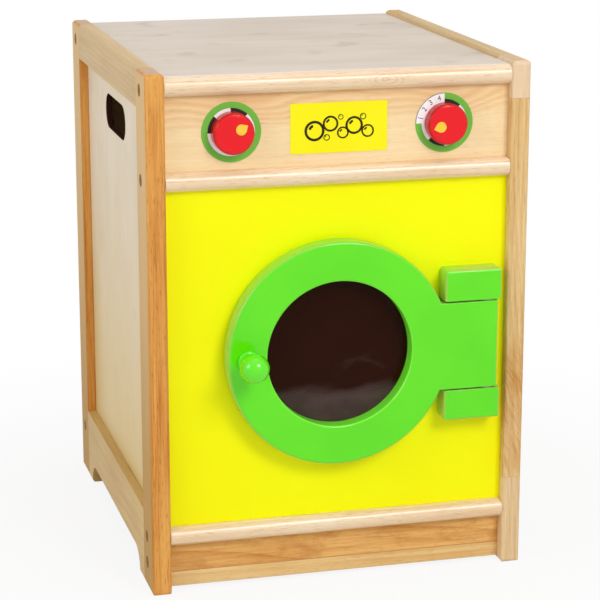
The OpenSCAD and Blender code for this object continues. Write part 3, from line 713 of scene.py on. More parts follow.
# %% [markdown]
# ## Nosings
# These three rails run across the front, pine with a half-round face. Their long highlights are
# what shows that they are round, so they get the thick, soft coat that flat boards can't have.
# The top one was cut beside a twig, and its knot sits on the face, right of the middle.

# %% Nosings
NOSING_PINE = dict(light=srgb(250, 226, 196), dark=srgb(228, 182, 126), pore=srgb(186, 140, 98))
KNOT_ASIDE, KNOT_SPREAD, KNOT_TONE = 42 * MM, 15 * MM, srgb(210, 160, 112)
twig = middle("top_nosing") + Vector((KNOT_ASIDE, 0, 0))
twig.y = front("top_nosing")
for number, name in enumerate(("top_nosing", "middle_nosing", "bottom_nosing")):
    knot = (twig, KNOT_SPREAD, KNOT_TONE) if name == "top_nosing" else None
    finishes[name] = wood("pine_" + name, "X", (0.2 * number, 0.31 * number, 0.5),
                          **NOSING_PINE, knot=knot, coat=1.0, roughness=0.36, shine=0.25,
                          coat_roughness=0.2, rings=0.45, fibres=0.45, pores=0.5, patches=0.5)
print("knot at", [round(value / MM) for value in twig], "mm")

# %% [markdown]
# ## The kick board
# It is two strips glued edge to edge, a browner one above a paler one. A texture could paint both
# at once, but two wood groups with their own tones are truer: a hard step at the glue line picks
# between them, and a cloudy noise adds the burl of the upper strip.

# %% Kick board
UPPER_STRIP = dict(light=srgb(242, 190, 116), dark=srgb(200, 130, 60), lean=0.25)
LOWER_STRIP = dict(light=srgb(244, 212, 154), dark=srgb(220, 170, 98), lean=0.03)
STRIP_FIGURE = dict(pore=srgb(140, 86, 40), rings=0.5, fibres=0.55, pores=0.35, patches=0.9,
                    ring_width=0.010)
KICK_GLUE, BURL = 0.34, srgb(198, 132, 66)
kick, tree, shader = new_material("kick_rubberwood")
low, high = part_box("kick_board")
glue_line = low.z + KICK_GLUE * (high.z - low.z)
level = split(tree, object_place(tree))[2]
upper, relief = board_figure(tree, grain_place(tree, "X", (0.6, 0.8, 0.3)), **UPPER_STRIP,
                             **STRIP_FIGURE)
lower = board_figure(tree, grain_place(tree, "X", (0.2, 0.3, 0.9)), **LOWER_STRIP,
                     **STRIP_FIGURE)[0]
burl = noise(tree, object_place(tree), (26, 26, 48), detail=4, roughness=0.65)
upper = blend(tree, calc(tree, "MULTIPLY", step(tree, burl, 0.46, 0.68), 0.6), upper, BURL)
colour = blend(tree, calc(tree, "LESS_THAN", level, glue_line), upper, lower)
seam = calc(tree, "MULTIPLY", line_at(tree, level, glue_line, 0.7 * MM), 0.5)
colour = blend(tree, seam, colour, srgb(164, 104, 50))
rough = calc(tree, "MULTIPLY_ADD", relief, 0.15, 0.42)
finish_surface(tree, shader, colour, rough, relief, WOOD_RELIEF, rounded(tree, 1.2 * MM),
               coat=0.06, shine=0.08)
finishes["kick_board"] = kick
print("glue line", round((glue_line - low.z) / MM, 1), "mm up the kick board")

# %% [markdown]
# ## Dowels, plugs and spindles
# Dowels and dial spindles are turned beech. The plugs over the frame screws are slices of it set
# end on, so they drink the lacquer and turn dark, most of all around the rim, where glue sits.
# The board's finish already knows edges, so a dark edge tone makes that rim.

# %% Turned beech
BEECH = dict(light=srgb(255, 232, 198), dark=srgb(232, 188, 134), pore=srgb(186, 140, 98))
PLUG_END = dict(light=srgb(158, 124, 60), dark=srgb(116, 84, 36), pore=srgb(62, 40, 18))
for name, offset in (("frame_dowels_left", (0.1, 0.2, 0.3)),
                     ("frame_dowels_right", (0.1, 0.2, 0.3)),
                     ("dial_spindle_left", (0.5, 0.1, 0.3)),
                     ("dial_spindle_right", (0.5, 0.1, 0.3))):
    finishes[name] = wood("beech_" + name, "Y", offset, **BEECH, rings=0.2, fibres=0.5)
for name in ("screw_plugs_left", "screw_plugs_right"):
    finishes[name] = wood("end_grain_" + name, "X", (0.2, 0.6, 0.1), **PLUG_END, coat=0.0,
                          shine=0.02, edge_tone=PLUG_END["pore"], edge_share=0.9, rings=0.4,
                          fibres=0.7, pores=0.6, patches=0.5)
print("wooden pieces finished:", len(finishes))

# %% [markdown]
# ## The control panel
# It is a planed pine board, and its figure is what everyone sees first. Chance could draw it, as
# on the other boards, but here it is laid out: a colour ramp over the height gives warm bands in
# the upper part and a pale lower part, and a slow noise bends them, so that they rise and fall as
# they run across. Where it bends hardest, they close into the arches of a board cut near a knot.

# %% Control panel
PANEL_PINE = dict(light=srgb(255, 232, 184), dark=srgb(242, 202, 148), pore=srgb(206, 156, 104),
                  rings=0.1, fibres=0.4, pores=0.3, patches=0.4)
BAND_TONE, BAND_SHARE = srgb(224, 158, 90), 0.54
BAND_BEND, BAND_MARGIN = 0.85, 3 * MM
BAND_SHADES = ((0.0, 0.0), (0.24, 0.06), (0.30, 0.0), (0.44, 0.10), (0.50, 0.02), (0.56, 0.55),
               (0.60, 0.20), (0.65, 0.80), (0.69, 0.25), (0.74, 0.90), (0.79, 0.35), (0.85, 1.0),
               (0.90, 0.45), (1.0, 0.7))
control, tree, shader = new_material("pine_control_panel")
colour, relief = board_figure(tree, grain_place(tree, "X", (0.3, 0.9, 0.0)), **PANEL_PINE)
low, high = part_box("control_panel")
level = split(tree, object_place(tree))[2]
rise = put(tree, "ShaderNodeMapRange", {"Value": level, "From Min": low.z + BAND_MARGIN,
                                        "From Max": high.z - BAND_MARGIN}).outputs[0]
bend = calc(tree, "SUBTRACT", noise(tree, object_place(tree), (11, 4, 17), detail=1.2), 0.5)
bands = put(tree, "ShaderNodeValToRGB", {0: calc(tree, "MULTIPLY_ADD", bend, BAND_BEND, rise)})
stops = bands.color_ramp.elements
for position, shade in BAND_SHADES:
    stops.new(position).color = (shade, shade, shade, 1)
# A new ramp comes with a stop at each end, and both go again.
stops.remove(stops[0])
stops.remove(stops[len(stops) - 1])
banded = calc(tree, "MULTIPLY", bands.outputs[0], BAND_SHARE)
colour = blend(tree, banded, colour, BAND_TONE)
rough = calc(tree, "MULTIPLY_ADD", relief, 0.15, 0.4)
finish_surface(tree, shader, colour, rough, relief, 0.1 * MM, rounded(tree, 1.0 * MM),
               coat=0.1, shine=0.12)
finishes["control_panel"] = control
print("colour stops over the control panel:", len(stops))

# %% [markdown]
# ## Plywood
# Plywood is peeled, not sawn, so its face shows a broad, weak figure, and its edge shows the
# plies: thin layers, light and dark in turn. Real layers could be modelled, but a mask does it
# without touching the board: the edge is where the normal doesn't look through the thickness, and
# the layers are counted along it. A router burns the edge of a hand slot dark brown.

# %% Plywood's faces and edges
PLY_FIGURE = dict(ring_width=0.021, fibres=0.3, pores=0.12, patches=0.9, lean=0.12)
ROUTED = srgb(50, 20, 12)
FOOT_SHARE = 0.85


def ply_face(tree, along, offset, light, dark, smudge, rings, stain, foot):
    """A peeled veneer's colour and relief."""
    place = grain_place(tree, along, offset)
    colour, relief = board_figure(tree, place, light=light, dark=dark, pore=smudge, rings=rings,
                                  **PLY_FIGURE)
    spots = step(tree, noise(tree, object_place(tree), (26, 26, 26), detail=1), 0.60, 0.80)
    colour = blend(tree, calc(tree, "MULTIPLY", spots, stain), colour, smudge)
    # Painted shade: the veneer turns darker and yellower towards the floor.
    if foot:
        drift = calc(tree, "MULTIPLY_ADD", noise(tree, object_place(tree), (9, 9, 4)), 0.2,
                     split(tree, object_place(tree))[2])
        foot_shade_mask = calc(tree, "MULTIPLY", step(tree, drift, 0.52, 0.14), FOOT_SHARE)
        colour = blend(tree, foot_shade_mask, colour, foot)
    return colour, relief


def ply_edge(tree, name, through, plies, light, smudge, routed):
    """The stripes on the edge of the board called name."""
    index = "XYZ".index(through)
    start, end = (corner[index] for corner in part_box(name))
    depth = calc(tree, "SUBTRACT", split(tree, object_place(tree))[index], start)
    count = calc(tree, "FLOOR", calc(tree, "DIVIDE", depth, (end - start) / plies))
    dark_ply = calc(tree, "PINGPONG", count, 1.0)
    if routed:
        return blend(tree, calc(tree, "MULTIPLY", dark_ply, 0.02), ROUTED, smudge)
    return blend(tree, calc(tree, "MULTIPLY_ADD", dark_ply, 0.7, 0.15), light, smudge)


made(ply_face, ply_edge)

# %% [markdown]
# A sheet of plywood is only rolled with a thin, dull varnish, so this finish has no coat. It takes
# the face and the edge from the helpers above and lets the normal choose between them.

# %% The plywood's finish


def plywood(name, through, along, offset, plies, light, dark, rings=0.2, stain=0.22,
            routed=False, foot=None):
    """A board of peeled veneers. through is the axis of its thickness, and plies how many it has.

    stain is how strongly blots show, routed edges are burnt brown, and foot is the tone that the
    veneer drifts to near the floor, as painted shade.
    """
    material, tree, shader = new_material(name)
    smudge = toned(dark, 0.80)
    face, relief = ply_face(tree, along, offset, light, dark, smudge, rings, stain, foot)
    edge = ply_edge(tree, name, through, plies, light, smudge, routed)
    colour = blend(tree, facing(tree, through), edge, face)
    rough = calc(tree, "MULTIPLY_ADD", relief, 0.12, 0.38)
    finish_surface(tree, shader, colour, rough, relief, 0.06 * MM, rounded(tree, 1.0 * MM),
                   shine=0.1)
    return material


made(plywood)

# %% [markdown]
# The sides are birch, with painted shade that makes them darker and yellower towards the foot,
# and the hand slots cut in them. The top board is greyer and more blotched. Each board could be
# its own call, but one table holds all five, so that they can be compared and a new one is a new
# line.

# %% Plywood boards
BIRCH = dict(light=srgb(244, 229, 204), dark=srgb(229, 209, 176))
# The sides' darker, yellower foot is painted shade.
SIDE_BIRCH = dict(**BIRCH, routed=True, foot=srgb(230, 200, 128))
GREY_BIRCH = dict(light=srgb(230, 216, 200), dark=srgb(208, 192, 172), rings=0.1, stain=0.5)
for name, through, along, offset, plies, look in (
        ("side_panel_left", "X", "Z", (0.2, 0.4, 0.1), 5, SIDE_BIRCH),
        ("side_panel_right", "X", "Z", (0.6, 0.3, 0.7), 5, SIDE_BIRCH),
        ("top_board", "Z", "X", (0.5, 0.2, 0.9), 7, GREY_BIRCH),
        ("floor_board", "Z", "X", (0.1, 0.8, 0.4), 7, BIRCH),
        ("back_panel", "Y", "Z", (0.8, 0.1, 0.5), 5, BIRCH)):
    finishes[name] = plywood(name, through, along, offset, plies, **look)
    print(name, "has", plies, "plies")

# %% [markdown]
# ## Paint
# Paint hides the grain but not the tool: a roller leaves a fine, even pebble. The colour drifts a
# little, and along edges a paler tone shows, partly where sanding wore the coat thin and partly as
# a painted highlight of the rounded edge. Plain gloss paint would need only one colour, but that
# looks like plastic, so each of these traces has its own noise. Paint on wooden toys is glossy,
# and a coat carries the highlights.

# %% The paint's finish
ROLLER, DRIFT, EDGE_PATCH_SCALE = (420, 420, 420), (11, 11, 11), (70, 70, 70)


def paint(name, colour, deep, wear_and_highlight, coat, roughness, pebble=0.02 * MM, radius=1.0 * MM, shine=0.15,
          coat_roughness=0.12, side_shading=None, side_shading_share=0.45, hole=None):
    """deep is the colour where the coat lies thick, and worn its tone along the edges.

    The edge tone is partly wear and partly a painted highlight. side_shading is a tone painted on
    the sides as painted reflection and shade, side_shading_share says how much of it shows, and
    hole is (centre, radius, tone) for the wall of a round hole, painted brighter as painted light.
    """
    material, tree, shader = new_material(name)
    place = object_place(tree)
    drift = noise(tree, place, DRIFT)
    rolled = noise(tree, place, ROLLER)
    body = blend(tree, step(tree, drift, 0.3, 0.75), colour, deep)
    # Painted reflection and shade: faces that turn away from the front take the side tone, in
    # patches.
    if side_shading:
        side_shade_mask = calc(tree, "MULTIPLY", turned_away(tree), step(tree, drift, 0.1, 0.6))
        body = blend(tree, calc(tree, "MULTIPLY", side_shade_mask, side_shading_share), body, side_shading)
    # Painted light: the wall of a round hole takes a brighter tone.
    if hole:
        centre, reach, tone = hole
        inside = step(tree, off_axis(tree, centre), reach + 2 * MM, reach + MM)
        body = blend(tree, calc(tree, "MULTIPLY", turned_away(tree), inside), body, tone)
    normal = rounded(tree, radius)
    edge = edge_mask(tree, normal)
    # Edges take the edge tone in patches: partly wear, partly a painted highlight.
    edge_patches = step(tree, noise(tree, place, EDGE_PATCH_SCALE), 0.25, 0.75)
    body = blend(tree, calc(tree, "MULTIPLY", edge, edge_patches), body, wear_and_highlight)
    rough = calc(tree, "MULTIPLY_ADD", rolled, 0.12, roughness)
    finish_surface(tree, shader, body, rough, rolled, pebble, normal, coat, shine, coat_roughness)
    return material


made(paint)

# %% [markdown]
# ## The painted pieces
# The door and its hinge blocks share one pot of green. Their sides get a duller tone as painted
# reflection and shade, more of it on the blocks, and the red knobs' sides a darker one as painted
# shade. The knob is turned and dipped, which leaves the thickest coat. The wall of the round hole
# in the door is painted the brightest green, as painted light.

# %% Painted pieces
GREEN = dict(colour=srgb(101, 234, 4), deep=srgb(94, 226, 2), wear_and_highlight=srgb(168, 240, 112), coat=0.7,
             roughness=0.3, radius=1.5 * MM, shine=0.1, coat_roughness=0.1)
# The hole wall's tone is painted light, the brightest green.
HOLE_RADIUS, HOLE_TONE = 69 * MM, srgb(130, 255, 60)
glass = middle("door_window")

yellow = paint("yellow_paint", srgb(255, 255, 4), srgb(255, 250, 3), srgb(255, 252, 80),
               coat=0.05, roughness=0.42, shine=0.1)
green = paint("green_paint", **GREEN, side_shading=srgb(206, 190, 124),
              hole=(glass, HOLE_RADIUS, HOLE_TONE))
green_block = paint("green_block_paint", **GREEN, side_shading=srgb(206, 188, 112), side_shading_share=0.62)
green_knob = paint("green_knob_paint", srgb(100, 240, 16), srgb(92, 230, 12),
                   srgb(140, 236, 90), coat=1.0, roughness=0.25, shine=0.1, coat_roughness=0.14)
# The red knobs' darker sides are painted shade.
red = paint("red_paint", srgb(240, 0, 22), srgb(232, 0, 18), srgb(252, 64, 74), coat=0.5,
            roughness=0.25, radius=2.6 * MM, shine=0.1, coat_roughness=0.1, side_shading=srgb(96, 0, 8))
pointer_yellow = paint("pointer_yellow", srgb(252, 210, 66), srgb(246, 196, 50),
                       srgb(255, 226, 120), coat=0.4, roughness=0.3, radius=0.4 * MM)
label_yellow = paint("label_yellow", srgb(255, 246, 20), srgb(252, 240, 14),
                     srgb(255, 248, 90), coat=0.15, roughness=0.3, radius=0.4 * MM, shine=0.1)

for finish, names in ((yellow, ("front_panel",)),
                      (label_yellow, ("control_label",)),
                      (green, ("door_ring", "window_retainer")),
                      (green_block, ("hinge_block_upper", "hinge_block_lower")),
                      (green_knob, ("door_knob",)),
                      (red, ("dial_knob_left", "dial_knob_right")),
                      (pointer_yellow, ("dial_pointer_left", "dial_pointer_right"))):
    for name in names:
        finishes[name] = finish
    print(finish.name, "on", *names)

# %% [markdown]
# ## The printed discs
# Each disc is a pie chart in print: a green band, and inside it white and black steps of an
# eighth of a turn. A picture could hold it, but a picture blurs close up. So the angle and the
# distance from the spindle are worked out from the object coordinates, a ramp with hard steps
# picks the colour by angle, and the distance picks the band.

# %% Dial prints
PRINT_GREEN, INK, PAPER = srgb(112, 190, 60), srgb(16, 12, 12), srgb(255, 253, 255)
BAND_INSIDE, RIM_INSIDE = 21.6 * MM, 26.6 * MM
PAPER_SECTOR = (0.25, 0.5)


def pie(tree, turn, eighths):
    """White and black steps of an eighth of a turn, from a string of W and B."""
    ramp = put(tree, "ShaderNodeValToRGB", {0: turn})
    ramp.color_ramp.interpolation = "CONSTANT"
    stops = ramp.color_ramp.elements
    for number, letter in enumerate(eighths):
        stops.new(number / 8 + 0.0001).color = INK if letter == "B" else PAPER
    stops[0].color = stops[1].color
    stops.remove(stops[-1])
    return ramp.outputs[0]


def dial_print(name, centre, eighths, sector=None):
    """A printed disc. sector is where paper breaks the green band, in turns from the right."""
    material, tree, shader = new_material(name)
    place = object_place(tree)
    away = off_axis(tree, centre)
    axis = split(tree, shift(tree, place, -centre))
    turn = calc(tree, "DIVIDE", calc(tree, "ARCTAN2", axis[2], axis[0]), 2 * math.pi)
    turn = calc(tree, "FRACT", calc(tree, "ADD", turn, 1.0))
    band = step(tree, away, BAND_INSIDE, BAND_INSIDE + 0.3 * MM)
    colour = blend(tree, band, pie(tree, turn, eighths), PRINT_GREEN)
    if sector:
        inside = between(tree, turn, *sector)
        colour = blend(tree, inside, colour, PAPER)
        rim = calc(tree, "MULTIPLY", inside, step(tree, away, RIM_INSIDE, RIM_INSIDE + 0.4 * MM))
        colour = blend(tree, calc(tree, "MULTIPLY", rim, 0.7), colour, INK)
    grain = noise(tree, place, (900, 900, 900), detail=1)
    colour = blend(tree, calc(tree, "MULTIPLY", grain, 0.05), colour, PAPER)
    rough = calc(tree, "MULTIPLY_ADD", grain, 0.15, 0.3)
    finish_surface(tree, shader, colour, rough, grain, 0.01 * MM, rounded(tree, 0.3 * MM),
                   coat=0.05, shine=0.08)
    return material


dial_left, dial_right = middle("dial_disc_left"), middle("dial_disc_right")
finishes["dial_disc_left"] = dial_print("dial_print_left", dial_left, "WBWBWWWW")
finishes["dial_disc_right"] = dial_print("dial_print_right", dial_right, "WBWWWBWW",
                                         PAPER_SECTOR)
print("dials at", [round(v / MM, 1) for v in (*dial_left.xz, *dial_right.xz)], "mm")

# %% [markdown]
# ## Smoked acrylic
# The window lets a little light through and tints it brown. Low on it lies a paler band: partly a
# greyish film of dust, with two arcs where a cloth went over it, and partly painted light, the
# lit floor board inside showing through. The band could be a picture laid on the pane, but a
# height with a crooked edge and two distances are enough, and stay sharp at any size.

# %% The dust and painted light on the window
WIPES = ((20 * MM, -50 * MM, 40 * MM, 0.30), (46 * MM, -66 * MM, 62 * MM, 0.22))
WIPE_HALF_WIDTH = 3.2 * MM
PALE_BAND_LEVEL, PALE_BAND_CROOKED = 0.25, 26 * MM
low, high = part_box("door_window")
pale_band_top = low.z + PALE_BAND_LEVEL * (high.z - low.z)


def dust_and_floor_light(tree, place):
    """How much of the pale band lies on the pane: dust, and painted light of the floor board
    behind.
    """
    over = split(tree, place)[2]
    band_noise = noise(tree, place, (30, 30, 46), detail=4, roughness=0.6)
    level = calc(tree, "MULTIPLY_ADD", band_noise, PALE_BAND_CROOKED, over)
    pale_band = calc(tree, "MULTIPLY", step(tree, level, pale_band_top + 20 * MM, pale_band_top + 6 * MM),
                calc(tree, "MULTIPLY_ADD", step(tree, band_noise, 0.35, 0.65), 0.3, 0.7))
    for aside, up, sweep, weight in WIPES:
        centre = glass + Vector((aside, 0, up))
        arc = line_at(tree, off_axis(tree, centre), sweep, WIPE_HALF_WIDTH, core=0.0)
        arc = calc(tree, "MULTIPLY", arc, calc(tree, "GREATER_THAN", over, centre.z))
        arc = calc(tree, "MULTIPLY", arc, step(tree, band_noise, 0.46, 0.62))
        pale_band = calc(tree, "MAXIMUM", pale_band, calc(tree, "MULTIPLY", arc, weight))
    return pale_band


print("film up to", round(pale_band_top / MM), "mm above the floor")

# %% [markdown]
# Real refraction through a thin, flat pane moves nothing that anyone would see, so a Transparent
# shader carries the view, mixed with a dark glossy surface. Fine wiping marks in its roughness
# keep it from looking like a hole. For the lamps' light the pane is nearly clear, so that the
# floor board inside isn't lost in the dark.

# %% Window
SMOKE = (srgb(52, 18, 2), srgb(68, 30, 12))
TINT = (srgb(156, 98, 62), srgb(170, 114, 76))
# The pale band's tone: dust, and painted light of the lit floor board seen through the pane.
DUST_AND_FLOOR_LIGHT_TONE, LAMP_TINT = srgb(112, 92, 90), (0.9, 0.85, 0.8, 1)
acrylic, tree, shader = new_material("smoked_acrylic")
place = object_place(tree)
wipe = noise(tree, place, (60, 60, 420), detail=3)
haze = noise(tree, place, (9, 9, 9), detail=1)
body = blend(tree, dust_and_floor_light(tree, place), blend(tree, haze, *SMOKE), DUST_AND_FLOOR_LIGHT_TONE)
rough = calc(tree, "MULTIPLY_ADD", wipe, 0.16, 0.04)
finish_surface(tree, shader, body, rough, wipe, 0.004 * MM, rounded(tree, 0.4 * MM),
               shine=0.12)
clear = put(tree, "ShaderNodeBsdfTransparent", {"Color": blend(tree, haze, *TINT)}).outputs[0]
share = calc(tree, "MULTIPLY_ADD", haze, 0.1, 0.40)
pane = put(tree, "ShaderNodeMixShader", {0: share, 1: clear, 2: shader.outputs[0]}).outputs[0]
lamp_ray = put(tree, "ShaderNodeLightPath").outputs["Is Shadow Ray"]
open_pane = put(tree, "ShaderNodeBsdfTransparent", {"Color": LAMP_TINT}).outputs[0]
pane = put(tree, "ShaderNodeMixShader", {0: lamp_ray, 1: pane, 2: open_pane}).outputs[0]
tree.links.new(pane, tree.nodes["Material Output"].inputs["Surface"])
finishes["door_window"] = acrylic
print("window tree:", len(tree.nodes), "nodes")

# %% [markdown]
# ## Metal and nylon
# Zinc-plated screws are bright but not mirrors: their roughness drifts, and fine turning marks
# run around them. The magnet is darker and grainier, and the washers are plain white nylon, which
# the paint's finish does well enough. One metal helper with two tones serves both metals.

# %% Metal and nylon pieces
CLOUD, TURNING_MARKS = (240, 240, 240), (3000, 300, 3000)


def metal(name, colour, shade, roughness, grit):
    """Plated steel or sintered iron."""
    material, tree, shader = new_material(name)
    place = object_place(tree)
    cloud = noise(tree, place, CLOUD, detail=3)
    marks = noise(tree, place, TURNING_MARKS)
    body = blend(tree, cloud, colour, shade)
    rough = calc(tree, "MULTIPLY_ADD", cloud, grit, roughness)
    finish_surface(tree, shader, body, rough, marks, 0.01 * MM, rounded(tree, 0.2 * MM))
    plug(tree, shader.inputs["Metallic"], 1.0)
    return material


steel = metal("zinc_steel", srgb(206, 208, 212), srgb(168, 170, 176), roughness=0.22, grit=0.2)
iron = metal("magnet_iron", srgb(110, 112, 118), srgb(70, 72, 78), roughness=0.4, grit=0.25)
nylon = paint("white_nylon", srgb(238, 236, 226), srgb(228, 225, 214), srgb(246, 245, 238),
              coat=0.1, roughness=0.5, radius=0.3 * MM)
for name in ("frame_screws_left", "frame_screws_right", "back_screws", "hinge_pins",
             "hinge_screws", "retainer_screws", "door_knob_screw", "strike_plate",
             "dial_washer_left", "dial_washer_right", "dial_screw_left", "dial_screw_right"):
    finishes[name] = steel
finishes["hinge_washers"] = nylon
finishes["door_magnet"] = iron
print("pieces finished:", len(finishes), "of", len(nodes))

# %% [markdown]
# ## Screws with real heads
# Small screws are all alike, so one is made by Geometry Nodes and set down on as many points as
# there are holes. A tree like this is a recipe: its named inputs are the screw's sizes, and it is
# run once and turned into a plain mesh. Modelling one by hand and copying it would do too, but
# then each new size means new work. The helpers below build such a tree and run it on points.

# %% Run a Geometry Nodes tree on points


def geometry_tree(name, inputs):
    """An empty tree with a Points input, more named inputs, and the sockets to plug from."""
    tree = bpy.data.node_groups.new(name, "GeometryNodeTree")
    tree.interface.new_socket(name="Points", in_out="INPUT", socket_type="NodeSocketGeometry")
    for label, (kind, value) in inputs.items():
        socket = tree.interface.new_socket(name=label, in_out="INPUT", socket_type=kind)
        if value is not None:
            socket.default_value = value
    tree.interface.new_socket(name="Piece", in_out="OUTPUT", socket_type="NodeSocketGeometry")
    return tree, put(tree, "NodeGroupInput").outputs


def end_tree(tree, instances, material):
    """Makes instances real, gives them their material and sends them out of the tree."""
    solid = put(tree, "GeometryNodeRealizeInstances", {0: instances}).outputs[0]
    done = put(tree, "GeometryNodeSetMaterial", {"Geometry": solid, "Material": material})
    tree.links.new(done.outputs[0], put(tree, "NodeGroupOutput").inputs[0])


def grow(name, tree, points, values, sizes=None):
    """Runs the tree on points, each with its own size if given, and keeps the mesh it makes."""
    mesh = bpy.data.meshes.new(name)
    mesh.from_pydata([tuple(point) for point in points], [], [])
    if sizes:
        mesh.attributes.new("size", "FLOAT", "POINT").data.foreach_set("value", sizes)
    piece = bpy.data.objects.new(name, mesh)
    scene.collection.objects.link(piece)
    modifier = piece.modifiers.new(name, "NODES")
    modifier.node_group = tree
    for item in tree.interface.items_tree:
        if item.in_out == "INPUT" and item.name in values:
            modifier[item.identifier] = values[item.name]
    depsgraph = bpy.context.evaluated_depsgraph_get()
    grown = bpy.data.meshes.new_from_object(piece.evaluated_get(depsgraph), depsgraph=depsgraph)
    piece.modifiers.remove(modifier)
    piece.data = grown
    print(name, "has", len(grown.polygons), "faces")
    return piece


made(geometry_tree, end_tree, grow)

# %% [markdown]
# The head starts as a cylinder with many rings of points, which a formula draws into a low dome.
# The same formula pushes down the points that lie in a cross, for the driver. A Boolean could cut
# the cross as well, but it leaves slivers, and moving points keeps the skin closed.

# %% The screw's head
HEAD_HEIGHT, SHANK_RADIUS, UNDER_HEAD = 1.5 * MM, 1.2 * MM, 0.15 * MM
RECESS_SLOPE, RECESS_REACH = 0.16 * MM, 0.72
TOP_NARROWER, RIM_LOWER = -0.28, -0.25
screw_tree, given = geometry_tree("pan_head_screw", {
    "Head Radius": ("NodeSocketFloat", 2.4 * MM), "Head Height": ("NodeSocketFloat", HEAD_HEIGHT),
    "Shank Radius": ("NodeSocketFloat", SHANK_RADIUS),
    "Shank Length": ("NodeSocketFloat", 12 * MM), "Pitch": ("NodeSocketFloat", 1.0 * MM),
    "Recess Width": ("NodeSocketFloat", 0.9 * MM), "Recess Depth": ("NodeSocketFloat", 0.9 * MM),
    "Aim": ("NodeSocketVector", (0, 0, 0)), "Seed": ("NodeSocketInt", 3),
    "Finish": ("NodeSocketMaterial", None)})
tree = screw_tree


def reshape(tree, mesh, change):
    """Moves a mesh's points: change takes x, y and z and returns the new ones."""
    place = put(tree, "GeometryNodeInputPosition").outputs[0]
    moved = join(tree, *change(*split(tree, place)))
    return put(tree, "GeometryNodeSetPosition", {"Geometry": mesh, "Position": moved}).outputs[0]


def dome(x, y, z):
    """Narrows the head towards its top, rounds it, and sinks the cross."""
    radius, height = given["Head Radius"], given["Head Height"]
    along = calc(tree, "ADD", calc(tree, "DIVIDE", z, height), 0.5)
    narrow = calc(tree, "MULTIPLY_ADD", calc(tree, "POWER", along, 3.0), TOP_NARROWER, 1.0)
    square = calc(tree, "ADD", calc(tree, "MULTIPLY", x, x), calc(tree, "MULTIPLY", y, y))
    fall = calc(tree, "DIVIDE", square, calc(tree, "MULTIPLY", radius, radius))
    level = calc(tree, "MULTIPLY", along, calc(tree, "MULTIPLY_ADD", fall, RIM_LOWER, 1.0))
    aside, over = calc(tree, "ABSOLUTE", x), calc(tree, "ABSOLUTE", y)
    wall = calc(tree, "SUBTRACT", calc(tree, "MULTIPLY", given["Recess Width"], 0.5),
                calc(tree, "MINIMUM", aside, over))
    end = calc(tree, "SUBTRACT", calc(tree, "MULTIPLY", radius, RECESS_REACH),
               calc(tree, "MAXIMUM", aside, over))
    cross = calc(tree, "MULTIPLY", calc(tree, "DIVIDE", wall, RECESS_SLOPE, clamp=True),
                 calc(tree, "DIVIDE", end, RECESS_SLOPE, clamp=True))
    cross = calc(tree, "MULTIPLY", cross, calc(tree, "GREATER_THAN", along, 0.95))
    sunk = calc(tree, "MULTIPLY", cross, given["Recess Depth"])
    return (calc(tree, "MULTIPLY", x, narrow), calc(tree, "MULTIPLY", y, narrow),
            calc(tree, "SUBTRACT", calc(tree, "MULTIPLY", level, height), sunk))


head = put(tree, "GeometryNodeMeshCylinder", {
    "Vertices": 36, "Side Segments": 4, "Fill Segments": 10, "Radius": given["Head Radius"],
    "Depth": given["Head Height"]}).outputs["Mesh"]
head = reshape(tree, head, dome)
print("screw head:", len(tree.nodes), "nodes")

# %% [markdown]
# The shank is another cylinder, whose rows step in and out, which reads as a thread, and it ends
# in a point. A true helix could be cut, but no one sees it in a hole, and it needs far more faces.
# The shank starts a little inside the head, so that the two shells overlap.

# %% The screw's shank


def thread(x, y, z):
    """Steps the shank's rows in and out, and draws the last ones to a point."""
    reach, half_pitch = given["Shank Length"], calc(tree, "MULTIPLY", given["Pitch"], 0.5)
    depth = calc(tree, "SUBTRACT", calc(tree, "MULTIPLY", reach, 0.5), z)
    ridge = calc(tree, "DIVIDE", calc(tree, "PINGPONG", depth, half_pitch), half_pitch)
    left = calc(tree, "DIVIDE", calc(tree, "SUBTRACT", reach, depth),
                calc(tree, "MULTIPLY", given["Shank Radius"], 2.5), clamp=True)
    width = calc(tree, "MULTIPLY", calc(tree, "MULTIPLY_ADD", ridge, -0.25, 1.0),
                 calc(tree, "MULTIPLY_ADD", left, 0.9, 0.1))
    return (calc(tree, "MULTIPLY", x, width), calc(tree, "MULTIPLY", y, width),
            calc(tree, "SUBTRACT", UNDER_HEAD, depth))


rows = calc(tree, "CEIL", calc(tree, "DIVIDE", given["Shank Length"],
                               calc(tree, "MULTIPLY", given["Pitch"], 0.5)))
shank = put(tree, "GeometryNodeMeshCylinder", {
    "Vertices": 14, "Side Segments": rows, "Radius": given["Shank Radius"],
    "Depth": given["Shank Length"]}).outputs["Mesh"]
screw = put(tree, "GeometryNodeJoinGeometry")
for part in (reshape(tree, shank, thread), head):
    tree.links.new(part, screw.inputs[0])
print("whole screw:", len(tree.nodes), "nodes")

# %% [markdown]
# Each screw is set on its point, aimed out of its hole, and turned by its own random angle, since
# no one lines up screw slots. The angles could be typed in, but a fixed seed gives the same ones
# every time. Instances are light copies that the export would drop, so the tree ends by making
# them real and giving them their metal.

# %% Screws on their points
spun = put(tree, "FunctionNodeRandomValue", {"Seed": given["Seed"]}, data_type="FLOAT")
spun.inputs[2].default_value, spun.inputs[3].default_value = 0.0, 2 * math.pi
placed = put(tree, "GeometryNodeInstanceOnPoints", {
    "Points": given["Points"], "Instance": screw.outputs[0],
    "Rotation": given["Aim"]}).outputs[0]
placed = put(tree, "GeometryNodeRotateInstances", {
    "Instances": placed, "Rotation": join(tree, z=spun.outputs[1]),
    "Local Space": True}).outputs[0]
end_tree(tree, placed, given["Finish"])
print("screw tree:", len(tree.nodes), "nodes")

